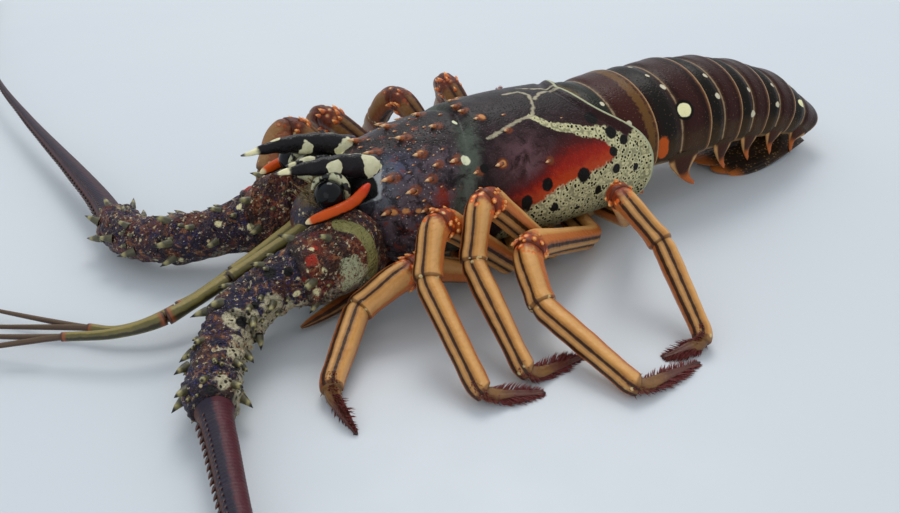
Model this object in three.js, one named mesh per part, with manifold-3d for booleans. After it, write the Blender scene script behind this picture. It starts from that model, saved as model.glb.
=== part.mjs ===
// Caribbean spiny lobster resting on the floor, life size, in millimetres.
// The head points along -X, the left side faces -Y, up is +Z and the floor is z = 0.
import * as THREE from "three";
import { mergeVertices } from "three/addons/utils/BufferGeometryUtils.js";
import Module from "manifold-3d";

const wasm = await Module();
wasm.setup();

// The middle of the whole animal's outline, moved to x = 0, y = 0.
const MIDDLE_X = -113;
const MIDDLE_Y = 3.05;

const GAP = 0.3;
const FLOOR = 0;

// Colours, roughness and metalness of the surfaces.
const LOOKS = {
  shell: [0x4a2a2a, 0.45],
  horn: [0x1d1a18, 0.35],
  eye: [0x050506, 0.08],
  head: [0x4b3a52, 0.5],
  antenna: [0x3d2d44, 0.5],
  flagellum: [0x3a1f38, 0.5],
  olive: [0x8a7a30, 0.5],
  leg: [0xb4702e, 0.42],
  dactyl: [0x7a3a20, 0.6],
  tail: [0x3a1c16, 0.4],
  fan: [0x4a2413, 0.45],
  belly: [0xb08a50, 0.6],
};

// Carapace, from the front edge to the rear edge, read round the section from the top (0 degrees)
// down to the middle of the underside (180 degrees).
const CARAPACE_FRONT = [[0, -147], [35, -144], [62, -139], [85, -141], [115, -137], [180, -128]];
const CARAPACE_GROOVE = [[0, -93], [50, -101], [100, -112], [180, -112]];
const CARAPACE_REAR = [[0, -45], [30, -38], [60, -22], [85, -17], [120, -22], [180, -34]];
// Sizes along X: half width, height of the top, height of the widest line.
const CARAPACE_HALF = [
  [-148, 15], [-140, 22], [-125, 28], [-95, 32], [-60, 34], [-35, 33], [-15, 30.5],
];
const CARAPACE_TOP = [
  [-148, 46], [-140, 50], [-120, 55], [-100, 57.5], [-75, 59], [-45, 57], [-15, 55],
];
const CARAPACE_MID = [[-148, 30], [-120, 26], [-60, 25], [-15, 26]];
const CARAPACE_UNDER = 9;
const GROOVE_DEPTH = 1.6;
const CARAPACE_RINGS_FRONT = 7;
const CARAPACE_RINGS_REAR = 9;
const CARAPACE_SIDES = 28;

// Spines of the carapace on one side: x, degrees round from the top, length, half thickness at the root.
const CARAPACE_SPINES = [
  [-131, 14, 6, 1.9], [-118, 12, 5.5, 1.8], [-104.5, 12, 4.5, 1.6], [-90.5, 5, 3.2, 1.4],
  [-87.5, 18, 3.6, 1.5], [-130, 44, 6.5, 2], [-116.5, 32, 4.5, 1.7], [-112, 44, 3.5, 1.4],
  [-104.5, 45, 4.5, 1.8], [-124, 58, 5, 1.8], [-116.5, 53, 4, 1.6], [-98, 57, 3.2, 1.4],
  [-88, 56, 4.2, 1.6], [-134.5, 72, 4.5, 1.7], [-121, 74, 3.5, 1.4],
  [-80, 34, 2.6, 1.3], [-68, 62, 2.6, 1.3],
];
const SPINE_LEAN = 0.9;
const SPINE_SIDES = 5;
const SPINE_SINK = 2.2;

// Underside plate between the legs.
const STERNUM_FRONT = -128;
const STERNUM_REAR = -26;
const STERNUM_HALF = [[-128, 6], [-100, 11], [-60, 14.5], [-26, 16.5]];
const STERNUM_TOP = 8.7;

// Tail joints: where each ring of shell ends, as x, height, tilt in degrees, half width, half height.
const TAIL_JOINTS = [
  [-45, 32, 0, 28.5, 22.5],
  [-13, 33, 0, 28.5, 22.6],
  [16, 33, 2, 28, 22.2],
  [34.5, 31.5, 7, 26.5, 20.8],
  [52, 28.2, 14, 24.5, 18.8],
  [70, 23, 26, 22.5, 16],
  [91.4, 12.5, 56, 17, 10.5],
];
const TAIL_SIDES = 20;
const TAIL_LIP = 1.1;
const PLEURON_DROP = [0, 7, 10.5, 6.5, 6, 4.5, 3];
const TAIL_LOWER = 0.6;

// Legs on the left side: the joints from the hip outwards as x, y, z, and half thickness.
// The right side has its own knees, because the animal does not sit evenly.
const HIP_Y = 12;
const HIP_Z = 4.6;
const LEFT_LEGS = [
  {
    hip: -97,
    thick: 1.08,
    joints: [
      [-107, -32, 5.6], [-137, -43, 23], [-159, -43, 12],
      [-182.6, -70.6, 4.6], [-182, -91, 0.35],
    ],
  },
  {
    hip: -80,
    thick: 1.0,
    joints: [
      [-90, -38, 5.8], [-127, -43.5, 42], [-138.3, -58.5, 26],
      [-140, -98.8, 3.8], [-119, -104.5, 0.35],
    ],
  },
  {
    hip: -63,
    thick: 1.0,
    joints: [
      [-72, -38, 5.8], [-108.5, -45, 46.5], [-118.8, -56.1, 25.8],
      [-121.6, -97.5, 3.8], [-96.2, -94.5, 0.35],
    ],
  },
  {
    hip: -46,
    thick: 1.02,
    joints: [
      [-51, -37, 6.2], [-99.6, -59, 28.2], [-102.9, -77.7, 14],
      [-94.1, -122.1, 3.8], [-64, -118, 0.35],
    ],
  },
  {
    hip: -30,
    thick: 0.95,
    joints: [
      [-31, -35, 8], [-58.3, -59, 39.5], [-50.7, -78.3, 24],
      [-57.6, -113.5, 3.6], [-73.8, -109.5, 0.35],
    ],
  },
];
const RIGHT_LEGS = [
  {
    hip: -97,
    thick: 1.05,
    joints: [
      [-106, 33, 5.8], [-145, 56, 45], [-158, 41, 31],
      [-157, 54, 4.4], [-177, 60, 0.35],
    ],
  },
  {
    hip: -80,
    thick: 1.0,
    joints: [
      [-90, 38, 5.8], [-126, 61, 44], [-123, 74, 28],
      [-113, 104, 3.8], [-91, 98, 0.35],
    ],
  },
  {
    hip: -63,
    thick: 1.0,
    joints: [
      [-70, 38, 5.8], [-88, 65, 44], [-92, 76, 27],
      [-84, 106, 3.8], [-62, 104, 0.35],
    ],
  },
  {
    hip: -46,
    thick: 1.0,
    joints: [
      [-50, 38, 6.2], [-60, 71, 42], [-53, 80, 26],
      [-40, 112, 3.8], [-16, 108, 0.35],
    ],
  },
  {
    hip: -30,
    thick: 0.92,
    joints: [
      [-29, 35, 8], [-22, 61, 26], [-16, 79, 18],
      [-6, 110, 3.6], [8, 128, 0.35],
    ],
  },
];
// Half thickness of a leg at each joint, across and along its bending plane.
const LEG_ACROSS = [6.2, 5, 4.9, 4.7, 3.6, 0.6];
const LEG_ALONG = [3.8, 4, 5.6, 5.2, 3.7, 0.6];
const LEG_BEND = [0, 5, 12.5, 4.5, 5.5, 0];
const LEG_SIDES = 8;
// Half thickness of a foot by its share of the length, from the ankle to the tip.
const FOOT_HALF = [[0, 2.6], [0.25, 2.2], [0.7, 1.3], [1, 0.5]];

// Antennae: the path of the left one, then its half thickness by distance from the base.
const ANTENNA_LEFT = [
  [-140, -22.5, 24], [-155, -25, 23], [-169, -25.5, 22], [-182, -25, 20], [-194.5, -28.5, 17.5],
  [-205.5, -37, 14], [-213.5, -50, 12], [-219.2, -64, 11], [-223.8, -88, 10.5], [-228.8, -114, 11],
  [-234.4, -150, 12], [-239, -220, 14], [-239, -300, 14], [-229, -380, 10], [-212, -452, 5],
];
const ANTENNA_RIGHT = [
  [-140, 22.5, 24], [-155, 24.5, 22], [-169, 28, 18.5], [-183, 30.5, 16.5], [-197, 35, 15],
  [-208, 42.5, 13.5], [-214.5, 53.5, 12], [-217, 68, 11], [-218.2, 92, 11.5], [-221.6, 127, 12],
  [-229.4, 196, 13], [-234.5, 262, 14], [-232, 330, 13], [-222, 395, 9], [-206, 458, 5],
];
const ANTENNA_JOINTS = [0, 34, 66, 106];
const ANTENNA_HALF = [
  [0, 7], [10, 11.5], [30, 11], [40, 9.6], [68, 9.4], [76, 9], [98, 8.8], [105, 7.2], [108, 5.6],
  [150, 4.2], [210, 2.7], [283, 1.4], [400, 0.9], [520, 0.5],
];
const ANTENNA_TALL = [[0, 11], [8, 17.5], [20, 16.5], [30, 13], [48, 9.6], [600, 0.2]];
const ANTENNA_DROP = 11.8;
const ANTENNA_SIDES = 10;
// Spines of an antenna: distance from the base, degrees round from the top towards the inner
// edge (the front edge once the antenna has turned outwards), length, half thickness.
const ANTENNA_SPINES = [
  [22, -20, 5.5, 1.8], [30, 25, 7, 2.1], [31, 80, 6.5, 2], [31, -75, 7, 2.1], [31, -130, 5.5, 1.8],
  [44, 10, 5, 1.7], [48, 85, 6, 1.9], [50, -80, 5.5, 1.8], [55, 40, 4.5, 1.6], [60, -45, 4.5, 1.6],
  [63, 15, 7, 2.1], [63, 70, 7.5, 2.1], [63, 110, 7, 2], [63, -65, 7, 2], [63, -115, 6.5, 1.9],
  [76, 95, 7, 2], [78, -90, 6, 1.8], [80, 30, 5, 1.7], [86, 75, 6.5, 1.9], [88, -60, 5, 1.7],
  [96, 100, 7.5, 2], [99, 60, 7, 2], [100, 10, 6, 1.8], [100, -55, 6.5, 1.9], [98, -105, 6.5, 1.9],
];
// Two rows of small spines on the first stretch of the long feeler.
const FEELER_SPINES_FROM = 112;
const FEELER_SPINES_TO = 232;
const FEELER_SPINE_COUNT = 16;
const FEELER_SPINE_ANGLES = [-88, 92];

// Bar under the eye, along the upper edge of the antenna's base.
const EYE_BAR = [[-141, -21.5, 44], [-150, -23.4, 42], [-160, -23.6, 40.2], [-168, -22.8, 38.4]];
const EYE_BAR_HALF = 2.1;
// Small prong on the inner side of each horn.
const PRONG = [[-140, -4.5, 44], [-151, -4.4, 49], [-163, -4.2, 50.5]];
const PRONG_HALF = [[0, 3.4], [14, 2.4], [26, 0.4]];

// Antennules: path of each, from the head out to the fork, and the two whips past it.
const ANTENNULE_LEFT = [
  [-160, -4, 28], [-190, -10.5, 21], [-219.5, -16, 15], [-236.5, -12, 12], [-254, -1, 10],
];
const ANTENNULE_RIGHT = [
  [-160, 4, 26], [-188.9, -1, 16.1], [-217.6, -6.5, 9.5], [-234.9, -1, 5.8], [-244, 7, 5.4],
];
const ANTENNULE_HALF = [[0, 3.2], [50, 2.5], [60, 2.9], [75, 2.1], [95, 1.6]];
const WHIP_REACH = 78;
const WHIP_SPREAD = 9;

const HORN_LEFT = [[-134, -10, 47], [-146, -10.5, 51.5], [-159, -10.5, 54.2], [-172.3, -9.3, 55.5]];
const HORN_RIGHT = [[-134, 10, 47], [-147, 10.5, 52], [-162, 10.5, 55.5], [-178, 9, 56.5]];
const HORN_HALF = [[0, 5.6], [14, 4.7], [26, 3.2], [40, 0.35]];
const EYE_CENTRE = [-155.5, -17.5, 46];
const EYE_ROOT = [-150, -6, 42];
const EYE_RADIUS = 5.4;
const STALK_RADIUS = 4;

// Front of the head between the antennae: half width and heights along X.
const HEAD_STATIONS = [[-146.8, 9.5, 12, 46], [-156, 8.5, 13, 43], [-165, 7.2, 14, 38]];

const MOUTHPART_PATH = [[-129, -9, 4.5], [-144, -17, 4.8], [-158, -26, 5], [-176.5, -31.5, 4]];
const MOUTHPART_HALF = [[0, 2.9], [25, 3], [45, 2.7], [62, 1]];

const { degToRad, lerp } = THREE.MathUtils;
const vec = (p) => new THREE.Vector3(p[0], p[1], p[2]);
const mirrored = (points) => points.map(([x, y, z]) => [x, -y, z]);
const smooth = (points) => new THREE.CatmullRomCurve3(points.map(vec), false, "centripetal");

// Reads a smooth value off a short list of [place, value] pairs.
function profile(pairs, at) {
  const last = pairs.length - 1;
  if (at <= pairs[0][0]) return pairs[0][1];
  if (at >= pairs[last][0]) return pairs[last][1];
  let i = 0;
  while (at > pairs[i + 1][0]) i += 1;
  const slope = (k) => {
    const a = pairs[Math.max(k - 1, 0)];
    const b = pairs[Math.min(k + 1, last)];
    return (b[1] - a[1]) / (b[0] - a[0]);
  };
  const [x0, y0] = pairs[i];
  const [x1, y1] = pairs[i + 1];
  const w = x1 - x0;
  const t = (at - x0) / w;
  const ease = t * t * (3 - 2 * t);
  const bend = t * (1 - t) * ((1 - t) * slope(i) - t * slope(i + 1));
  return lerp(y0, y1, ease) + w * bend;
}

// Turns a closed geometry into a solid, with its faces pointing out.
function solid(geometry) {
  const positions = geometry.attributes.position.array;
  const triangles = Uint32Array.from(geometry.index.array);
  let volume = 0;
  const corner = [new THREE.Vector3(), new THREE.Vector3(), new THREE.Vector3()];
  for (let i = 0; i < triangles.length; i += 3) {
    corner.forEach((c, k) => c.fromArray(positions, 3 * triangles[i + k]));
    volume += corner[0].dot(corner[1].clone().cross(corner[2]));
  }
  if (volume < 0) {
    for (let i = 0; i < triangles.length; i += 3) {
      [triangles[i + 1], triangles[i + 2]] = [triangles[i + 2], triangles[i + 1]];
    }
  }
  const vertProperties = new Float32Array(positions);
  return new wasm.Manifold(new wasm.Mesh({ numProp: 3, vertProperties, triVerts: triangles }));
}

function bare(geometry) {
  geometry.deleteAttribute("normal");
  geometry.deleteAttribute("uv");
  return mergeVertices(geometry, 1e-4);
}

// A closed body of rings: place(k, angle) gives the ring points, middle(k) the centre of an end face.
function loft(sides, rings, place, middle) {
  const made = bare(new THREE.CylinderGeometry(1, 1, 1, sides, rings));
  const at = made.attributes.position;
  for (let i = 0; i < at.count; i += 1) {
    const ring = Math.round((0.5 - at.getY(i)) * rings);
    const x = at.getX(i);
    const z = at.getZ(i);
    const p = Math.hypot(x, z) < 0.5 ? middle(ring) : place(ring, Math.atan2(x, z));
    at.setXYZ(i, p.x, p.y, p.z);
  }
  return solid(made);
}

// A pointed spine that stands at a place, with its root sunk into the shell.
function thorn(at, direction, length, half) {
  const cone = new THREE.ConeGeometry(half, length + SPINE_SINK, SPINE_SIDES, 1);
  cone.translate(0, (length + SPINE_SINK) / 2 - SPINE_SINK, 0);
  const upright = new THREE.Vector3(0, 1, 0);
  cone.applyQuaternion(new THREE.Quaternion().setFromUnitVectors(upright, direction.clone().normalize()));
  cone.translate(at.x, at.y, at.z);
  return solid(bare(cone));
}

// The largest piece of a solid.
function largest(made) {
  const pieces = made.decompose();
  return pieces.reduce((a, b) => (b.volume() > a.volume() ? b : a));
}

const FLOOR_BLOCK = solid(bare(new THREE.BoxGeometry(2000, 2000, 60).translate(0, 0, FLOOR - 30)));

const root = new THREE.Group();
root.position.set(-MIDDLE_X, -MIDDLE_Y, 0);

// Puts a solid into the animal as a named mesh, cut level where it meets the floor.
function add(name, look, made) {
  const done = largest(made.subtract(FLOOR_BLOCK));
  const mesh = done.getMesh();
  const positions = new Float32Array(mesh.numVert * 3);
  for (let i = 0; i < mesh.numVert; i += 1) {
    positions.set(mesh.vertProperties.subarray(i * mesh.numProp, i * mesh.numProp + 3), i * 3);
  }
  const geometry = new THREE.BufferGeometry();
  geometry.setAttribute("position", new THREE.BufferAttribute(positions, 3));
  geometry.setIndex(new THREE.BufferAttribute(mesh.triVerts, 1));
  geometry.computeVertexNormals();
  const [color, roughness] = LOOKS[look];
  const material = new THREE.MeshStandardMaterial({ color, roughness, metalness: 0 });
  const node = new THREE.Mesh(geometry, material);
  node.name = name;
  root.add(node);
}

// A tube along a curve between two distances from its start, with rings at the given distances.
function tube(curve, length, rings, halfAcross, halfAlong, sides, plane) {
  const frames = rings.map((s) => {
    const t = Math.min(Math.max(s / length, 0), 1);
    const ahead = curve.getTangentAt(t).normalize();
    const across = plane.clone().addScaledVector(ahead, -plane.dot(ahead)).normalize();
    return { point: curve.getPointAt(t), across, along: ahead.clone().cross(across) };
  });
  const place = (k, angle) =>
    frames[k].point
      .clone()
      .addScaledVector(frames[k].across, halfAcross(rings[k], Math.sin(angle)) * Math.sin(angle))
      .addScaledVector(frames[k].along, halfAlong(rings[k]) * Math.cos(angle));
  return loft(sides, rings.length - 1, place, (k) => frames[k].point);
}

const spaced = (from, to, count) => Array.from({ length: count + 1 }, (_, i) => lerp(from, to, i / count));

// Carapace.
function carapacePoint(along, angle, grow) {
  const turn = Math.abs(THREE.MathUtils.radToDeg(angle));
  const front = profile(CARAPACE_FRONT, turn) - grow;
  const groove = profile(CARAPACE_GROOVE, turn);
  const rear = profile(CARAPACE_REAR, turn) + grow;
  const x = along < 0 ? lerp(groove, front, -along) : lerp(groove, rear, along);
  return carapaceSection(x, angle, grow, along === 0 ? GROOVE_DEPTH : 0);
}

function carapaceSection(x, angle, grow, sink) {
  const half = profile(CARAPACE_HALF, x) + grow;
  const mid = profile(CARAPACE_MID, x);
  const sin = Math.sin(angle);
  const cos = Math.cos(angle);
  if (cos >= 0) {
    const top = profile(CARAPACE_TOP, x) + grow;
    const shape = Math.pow(cos, 0.9);
    return new THREE.Vector3(x, (half - sink) * sin, mid + (top - mid - sink) * shape);
  }
  const side = Math.sign(sin) * Math.pow(Math.abs(sin), 0.45);
  const drop = Math.pow(-cos, 0.7);
  return new THREE.Vector3(x, (half - sink) * side, mid - (mid - CARAPACE_UNDER + grow) * drop);
}

function carapace(grow) {
  const steps = [];
  for (let i = CARAPACE_RINGS_FRONT; i > 0; i -= 1) steps.push(-Math.pow(i / CARAPACE_RINGS_FRONT, 1.15));
  steps.push(0);
  for (let i = 1; i <= CARAPACE_RINGS_REAR; i += 1) steps.push(Math.pow(i / CARAPACE_RINGS_REAR, 1.15));
  const place = (k, angle) => carapacePoint(steps[k], angle, grow);
  const middle = (k) => new THREE.Vector3(k === 0 ? -139 - grow : -38 + grow, 0, 28);
  return loft(CARAPACE_SIDES, steps.length - 1, place, middle);
}

// The spines lean forward from the shell's own slope.
function carapaceThorn([x, degrees, length, half], side) {
  const angle = side * degToRad(degrees);
  const at = carapaceSection(x, angle, 0, 0);
  const on = carapaceSection(x + 1, angle, 0, 0).sub(at);
  const round = carapaceSection(x, angle + 0.02, 0, 0).sub(at);
  const out = round.cross(on).normalize();
  out.multiplyScalar(Math.sign(out.z));
  return thorn(at, out.add(new THREE.Vector3(-SPINE_LEAN, 0, 0)), length, half);
}

const carapaceGrown = carapace(GAP);
let carapaceWhole = carapace(0);
for (const side of [-1, 1]) {
  for (const spine of CARAPACE_SPINES) carapaceWhole = carapaceWhole.add(carapaceThorn(spine, side));
}
add("carapace", "shell", carapaceWhole);

// Sternum.
function sternumBody(grow) {
  const xs = spaced(STERNUM_FRONT - grow, STERNUM_REAR + grow, 6);
  const edge = xs.map((x) => [x, profile(STERNUM_HALF, x) + grow]);
  const outline = edge.concat(edge.map(([x, y]) => [x, -y]).reverse());
  const shape = new THREE.Shape(outline.map(([x, y]) => new THREE.Vector2(x, y)));
  const made = bare(new THREE.ExtrudeGeometry(shape, { depth: STERNUM_TOP + 2 * grow, bevelEnabled: false }));
  made.translate(0, 0, -grow);
  return solid(made);
}
const sternumGrown = sternumBody(GAP);
add("sternum", "belly", sternumBody(0));

// Tail rings: the section at a joint, and points between two joints.
function tailFrame(x, z, tilt) {
  const a = degToRad(tilt);
  return {
    at: new THREE.Vector3(x, 0, z),
    up: new THREE.Vector3(Math.sin(a), 0, Math.cos(a)),
    on: new THREE.Vector3(Math.cos(a), 0, -Math.sin(a)),
  };
}

function tailPoint(joint, angle, halfWide, halfTall) {
  const sin = Math.sin(angle);
  const cos = Math.cos(angle);
  const frame = tailFrame(joint[0], joint[1], joint[2]);
  const y = cos >= 0 ? halfWide * sin : halfWide * Math.sign(sin) * Math.pow(Math.abs(sin), 0.5);
  const up = cos >= 0 ? halfTall * Math.pow(cos, 0.92) : -halfTall * TAIL_LOWER * Math.pow(-cos, 0.6);
  return frame.at.clone().addScaledVector(frame.up, up).setY(y);
}

function between(a, b, t) {
  return a.map((v, i) => lerp(v, b[i], t));
}

// A pleuron is the pointed flap at the side of a tail ring.
function pleuron(joint, next, drop, side) {
  const shape = new THREE.Shape();
  const long = Math.hypot(next[0] - joint[0], next[1] - joint[1]);
  shape.moveTo(0.12 * long, 5);
  shape.lineTo(0.92 * long, 5);
  shape.lineTo(0.95 * long, -0.35 * drop);
  shape.lineTo(0.86 * long, -drop);
  shape.lineTo(0.62 * long, -0.55 * drop);
  shape.lineTo(0.3 * long, -0.45 * drop);
  const blade = bare(new THREE.ExtrudeGeometry(shape, { depth: 2.2, bevelEnabled: false }));
  const mid = between(joint, next, 0.5);
  blade.rotateX(Math.PI / 2);
  blade.translate(0, 1.1, 0);
  const frame = tailFrame(joint[0], joint[1], (joint[2] + next[2]) / 2);
  const place = new THREE.Matrix4().makeBasis(frame.on, new THREE.Vector3(0, 1, 0), frame.up);
  blade.applyMatrix4(place);
  const low = TAIL_LOWER * mid[4];
  const at = frame.at.clone().addScaledVector(frame.up, -low + 3);
  blade.translate(at.x, side * (mid[3] - 1.6), at.z);
  return solid(blade);
}

function tailRing(k, grow) {
  const joint = TAIL_JOINTS[k - 1].slice();
  const next = TAIL_JOINTS[k].slice();
  const long = Math.hypot(next[0] - joint[0], next[1] - joint[1]);
  const start = between(joint, next, (0.5 * GAP - grow) / long);
  const end = between(joint, next, 1 - (0.5 * GAP - grow) / long);
  const steps = [
    [start, -TAIL_LIP],
    [between(start, end, 0.3), 0],
    [between(start, end, 0.75), 0.5],
    [end, 0.5],
  ];
  const size = (i, side) => steps[i][0][side] + steps[i][1] + grow;
  const place = (i, angle) => tailPoint(steps[i][0], angle, size(i, 3), size(i, 4));
  const middle = (i) => new THREE.Vector3(steps[i][0][0], 0, steps[i][0][1]);
  let made = loft(TAIL_SIDES, steps.length - 1, place, middle);
  for (const side of [-1, 1]) {
    if (PLEURON_DROP[k] > 0) made = made.add(pleuron(start, end, PLEURON_DROP[k], side));
  }
  return made;
}

for (let k = 1; k <= 6; k += 1) {
  const made = tailRing(k, 0);
  add("tail_ring_" + k, "tail", k === 1 ? made.subtract(carapaceGrown) : made);
}

// Tail fan, folded forward under the tail.
function blade(points, thick, from, to, sidelong) {
  const shape = new THREE.Shape(points.map(([a, b]) => new THREE.Vector2(a, b)));
  const made = bare(new THREE.ExtrudeGeometry(shape, { depth: thick, bevelEnabled: false }));
  const ahead = vec(to).sub(vec(from)).normalize();
  const across = new THREE.Vector3(0, 1, 0).applyAxisAngle(ahead, sidelong);
  const up = ahead.clone().cross(across);
  made.applyMatrix4(new THREE.Matrix4().makeBasis(ahead, across, up));
  made.translate(from[0], from[1], from[2]);
  return solid(made);
}

function leaf(long, narrow, wide, count) {
  const round = (t) => Math.sqrt(Math.max(1 - Math.pow(t, 5), 0));
  const edge = (t) => lerp(narrow, wide, Math.sin(Math.min(t * 1.9, Math.PI / 2))) * round(t);
  const right = spaced(0, 1, count).map((t) => [t * long, -edge(t)]);
  const left = spaced(0, 1, count).map((t) => [t * long, edge(t)]).reverse();
  return right.concat(left.slice(1));
}

const lastRingGrown = tailRing(6, GAP);
const telson = blade(leaf(60, 9, 12.5, 7), 1.6, [93, 0, 7.2], [36, 0, 2.6], 0);
add("telson", "fan", telson.subtract(lastRingGrown));
for (const [name, side] of [["left", -1], ["right", 1]]) {
  const inner = blade(leaf(54, 4, 9, 6), 1.3, [91, side * 8, 4.6], [38, side * 10, 0.7], -side * 0.05);
  const outer = blade(leaf(50, 4, 7.5, 6), 1.3, [91, side * 10, 4.9], [45, side * 14.5, 0.2], -side * 0.12);
  add("uropod_" + name, "fan", inner.add(outer).subtract(lastRingGrown));
}

// Front of the head.
function headBody(grow) {
  const st = HEAD_STATIONS;
  const xs = [st[0][0] - 0, st[1][0], st[2][0] - grow];
  const place = (k, angle) => {
    const sin = Math.sin(angle);
    const cos = Math.cos(angle);
    const y = Math.sign(sin) * Math.pow(Math.abs(sin), 0.6) * (st[k][1] + grow);
    const z = Math.sign(cos) * Math.pow(Math.abs(cos), 0.6);
    const mid = (st[k][2] + st[k][3]) / 2;
    return new THREE.Vector3(xs[k], y, mid + z * ((st[k][3] - st[k][2]) / 2 + grow));
  };
  return loft(12, 2, place, (k) => new THREE.Vector3(xs[k], 0, (st[k][2] + st[k][3]) / 2));
}
const headGrown = headBody(GAP);
add("head_front", "head", headBody(0).subtract(carapaceGrown));

// Parts in pairs.
for (const [name, side] of [["left", -1], ["right", 1]]) {
  const own = (points) => (side < 0 ? points : mirrored(points));

  // Antenna, in four pieces along one curve.
  const curve = smooth(side < 0 ? ANTENNA_LEFT : ANTENNA_RIGHT);
  curve.arcLengthDivisions = 600;
  const length = curve.getLength();
  const upright = new THREE.Vector3(0, 0, 1);
  const wide = (s) => profile(ANTENNA_HALF, s);
  const high = (s) => (s < ANTENNA_JOINTS[2] ? Math.max(profile(ANTENNA_TALL, s), wide(s)) : wide(s));
  const tall = (s, up) => (up < 0 ? Math.min(high(s), Math.max(ANTENNA_DROP, wide(s))) : high(s));
  const cut = (from, to, count) =>
    tube(curve, length, spaced(from + GAP / 2, to - GAP / 2, count), tall, wide, ANTENNA_SIDES, upright);
  const feelerThorn = ([s, degrees, long, half]) => {
    const t = s / length;
    const ahead = curve.getTangentAt(t).normalize();
    const up = upright.clone().addScaledVector(ahead, -upright.dot(ahead)).normalize();
    const inner = ahead.clone().cross(up).multiplyScalar(-side);
    const turn = degToRad(degrees);
    const out = up.clone().multiplyScalar(Math.cos(turn)).addScaledVector(inner, Math.sin(turn));
    const reach = Math.hypot(tall(s, Math.cos(turn)) * Math.cos(turn), wide(s) * Math.sin(turn));
    const at = curve.getPointAt(t).addScaledVector(out, 0.97 * reach);
    return thorn(at, out.addScaledVector(ahead, 0.8), long, half);
  };
  const withThorns = (piece, spines) => spines.reduce((made, spine) => made.add(feelerThorn(spine)), piece);
  const onPiece = (from, to) => ANTENNA_SPINES.filter(([s]) => s > from && s < to);
  const bar = smooth(own(EYE_BAR));
  const barLength = bar.getLength();
  const barHalf = (s) => EYE_BAR_HALF * Math.sqrt(Math.max(1 - Math.pow((2 * s) / barLength - 1, 4), 0.05));
  const eyeBar = tube(bar, barLength, spaced(0, barLength, 7), barHalf, barHalf, 6, upright);
  const baseBare = cut(ANTENNA_JOINTS[0], ANTENNA_JOINTS[1], 5);
  const base = withThorns(baseBare, onPiece(0, ANTENNA_JOINTS[1])).add(eyeBar);
  const baseClear = base.subtract(carapaceGrown).subtract(headGrown);
  add("antenna_" + name + "_base", "head", baseClear);
  const middle = cut(ANTENNA_JOINTS[1], ANTENNA_JOINTS[2], 4);
  const middleSpines = onPiece(ANTENNA_JOINTS[1], ANTENNA_JOINTS[2]);
  add("antenna_" + name + "_middle", "antenna", withThorns(middle, middleSpines));
  const outer = cut(ANTENNA_JOINTS[2], ANTENNA_JOINTS[3], 5);
  const outerSpines = onPiece(ANTENNA_JOINTS[2], ANTENNA_JOINTS[3]);
  add("antenna_" + name + "_outer", "antenna", withThorns(outer, outerSpines));
  const whipFrom = ANTENNA_JOINTS[3] + GAP / 2;
  const whipRings = spaced(0, 1, 34).map((t) => lerp(whipFrom, length, Math.pow(t, 1.1)));
  const whipBare = tube(curve, length, whipRings, wide, wide, 8, upright);
  const whipSpines = spaced(FEELER_SPINES_FROM, FEELER_SPINES_TO, FEELER_SPINE_COUNT - 1).flatMap((s, i) => {
    const share = i / FEELER_SPINE_COUNT;
    return FEELER_SPINE_ANGLES.map((degrees) => [s, degrees, lerp(3.2, 1.6, share), lerp(1.1, 0.7, share)]);
  });
  add("antenna_" + name + "_flagellum", "flagellum", withThorns(whipBare, whipSpines));

  // Horn over the eye.
  const hornCurve = smooth(side < 0 ? HORN_LEFT : HORN_RIGHT);
  const hornLength = hornCurve.getLength();
  const hornHalf = (s) => profile(HORN_HALF, (s * HORN_HALF[3][0]) / hornLength);
  const horn = (grow) => {
    const across = (s) => 1.15 * hornHalf(s) + grow;
    const along = (s) => 0.85 * hornHalf(s) + grow;
    return tube(hornCurve, hornLength, spaced(0, hornLength, 8), across, along, 8, upright);
  };
  const prong = smooth(own(PRONG));
  const prongLength = prong.getLength();
  const prongHalf = (s) => profile(PRONG_HALF, (s * PRONG_HALF[2][0]) / prongLength);
  const prongs = tube(prong, prongLength, spaced(0, prongLength, 5), prongHalf, prongHalf, 6, upright);
  add("horn_" + name, "horn", horn(0).add(prongs).subtract(carapaceGrown).subtract(headGrown));

  // Eye on its short stalk.
  const centre = vec(own([EYE_CENTRE])[0]);
  const rootAt = vec(own([EYE_ROOT])[0]);
  const reach = centre.distanceTo(rootAt);
  const outline = [new THREE.Vector2(0, -3), new THREE.Vector2(STALK_RADIUS, -3)];
  for (const t of spaced(0.3, 1, 7)) {
    const a = t * Math.PI;
    outline.push(new THREE.Vector2(EYE_RADIUS * Math.sin(Math.PI - a), reach - EYE_RADIUS * Math.cos(a)));
  }
  outline[outline.length - 1].x = 0;
  const eyeShape = bare(new THREE.LatheGeometry(outline, 14));
  const gaze = centre.clone().sub(rootAt).normalize();
  eyeShape.applyQuaternion(new THREE.Quaternion().setFromUnitVectors(new THREE.Vector3(0, 1, 0), gaze));
  eyeShape.translate(rootAt.x, rootAt.y, rootAt.z);
  const eye = solid(eyeShape).subtract(headGrown).subtract(carapaceGrown);
  add("eye_" + name, "eye", eye.subtract(horn(GAP)));

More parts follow.
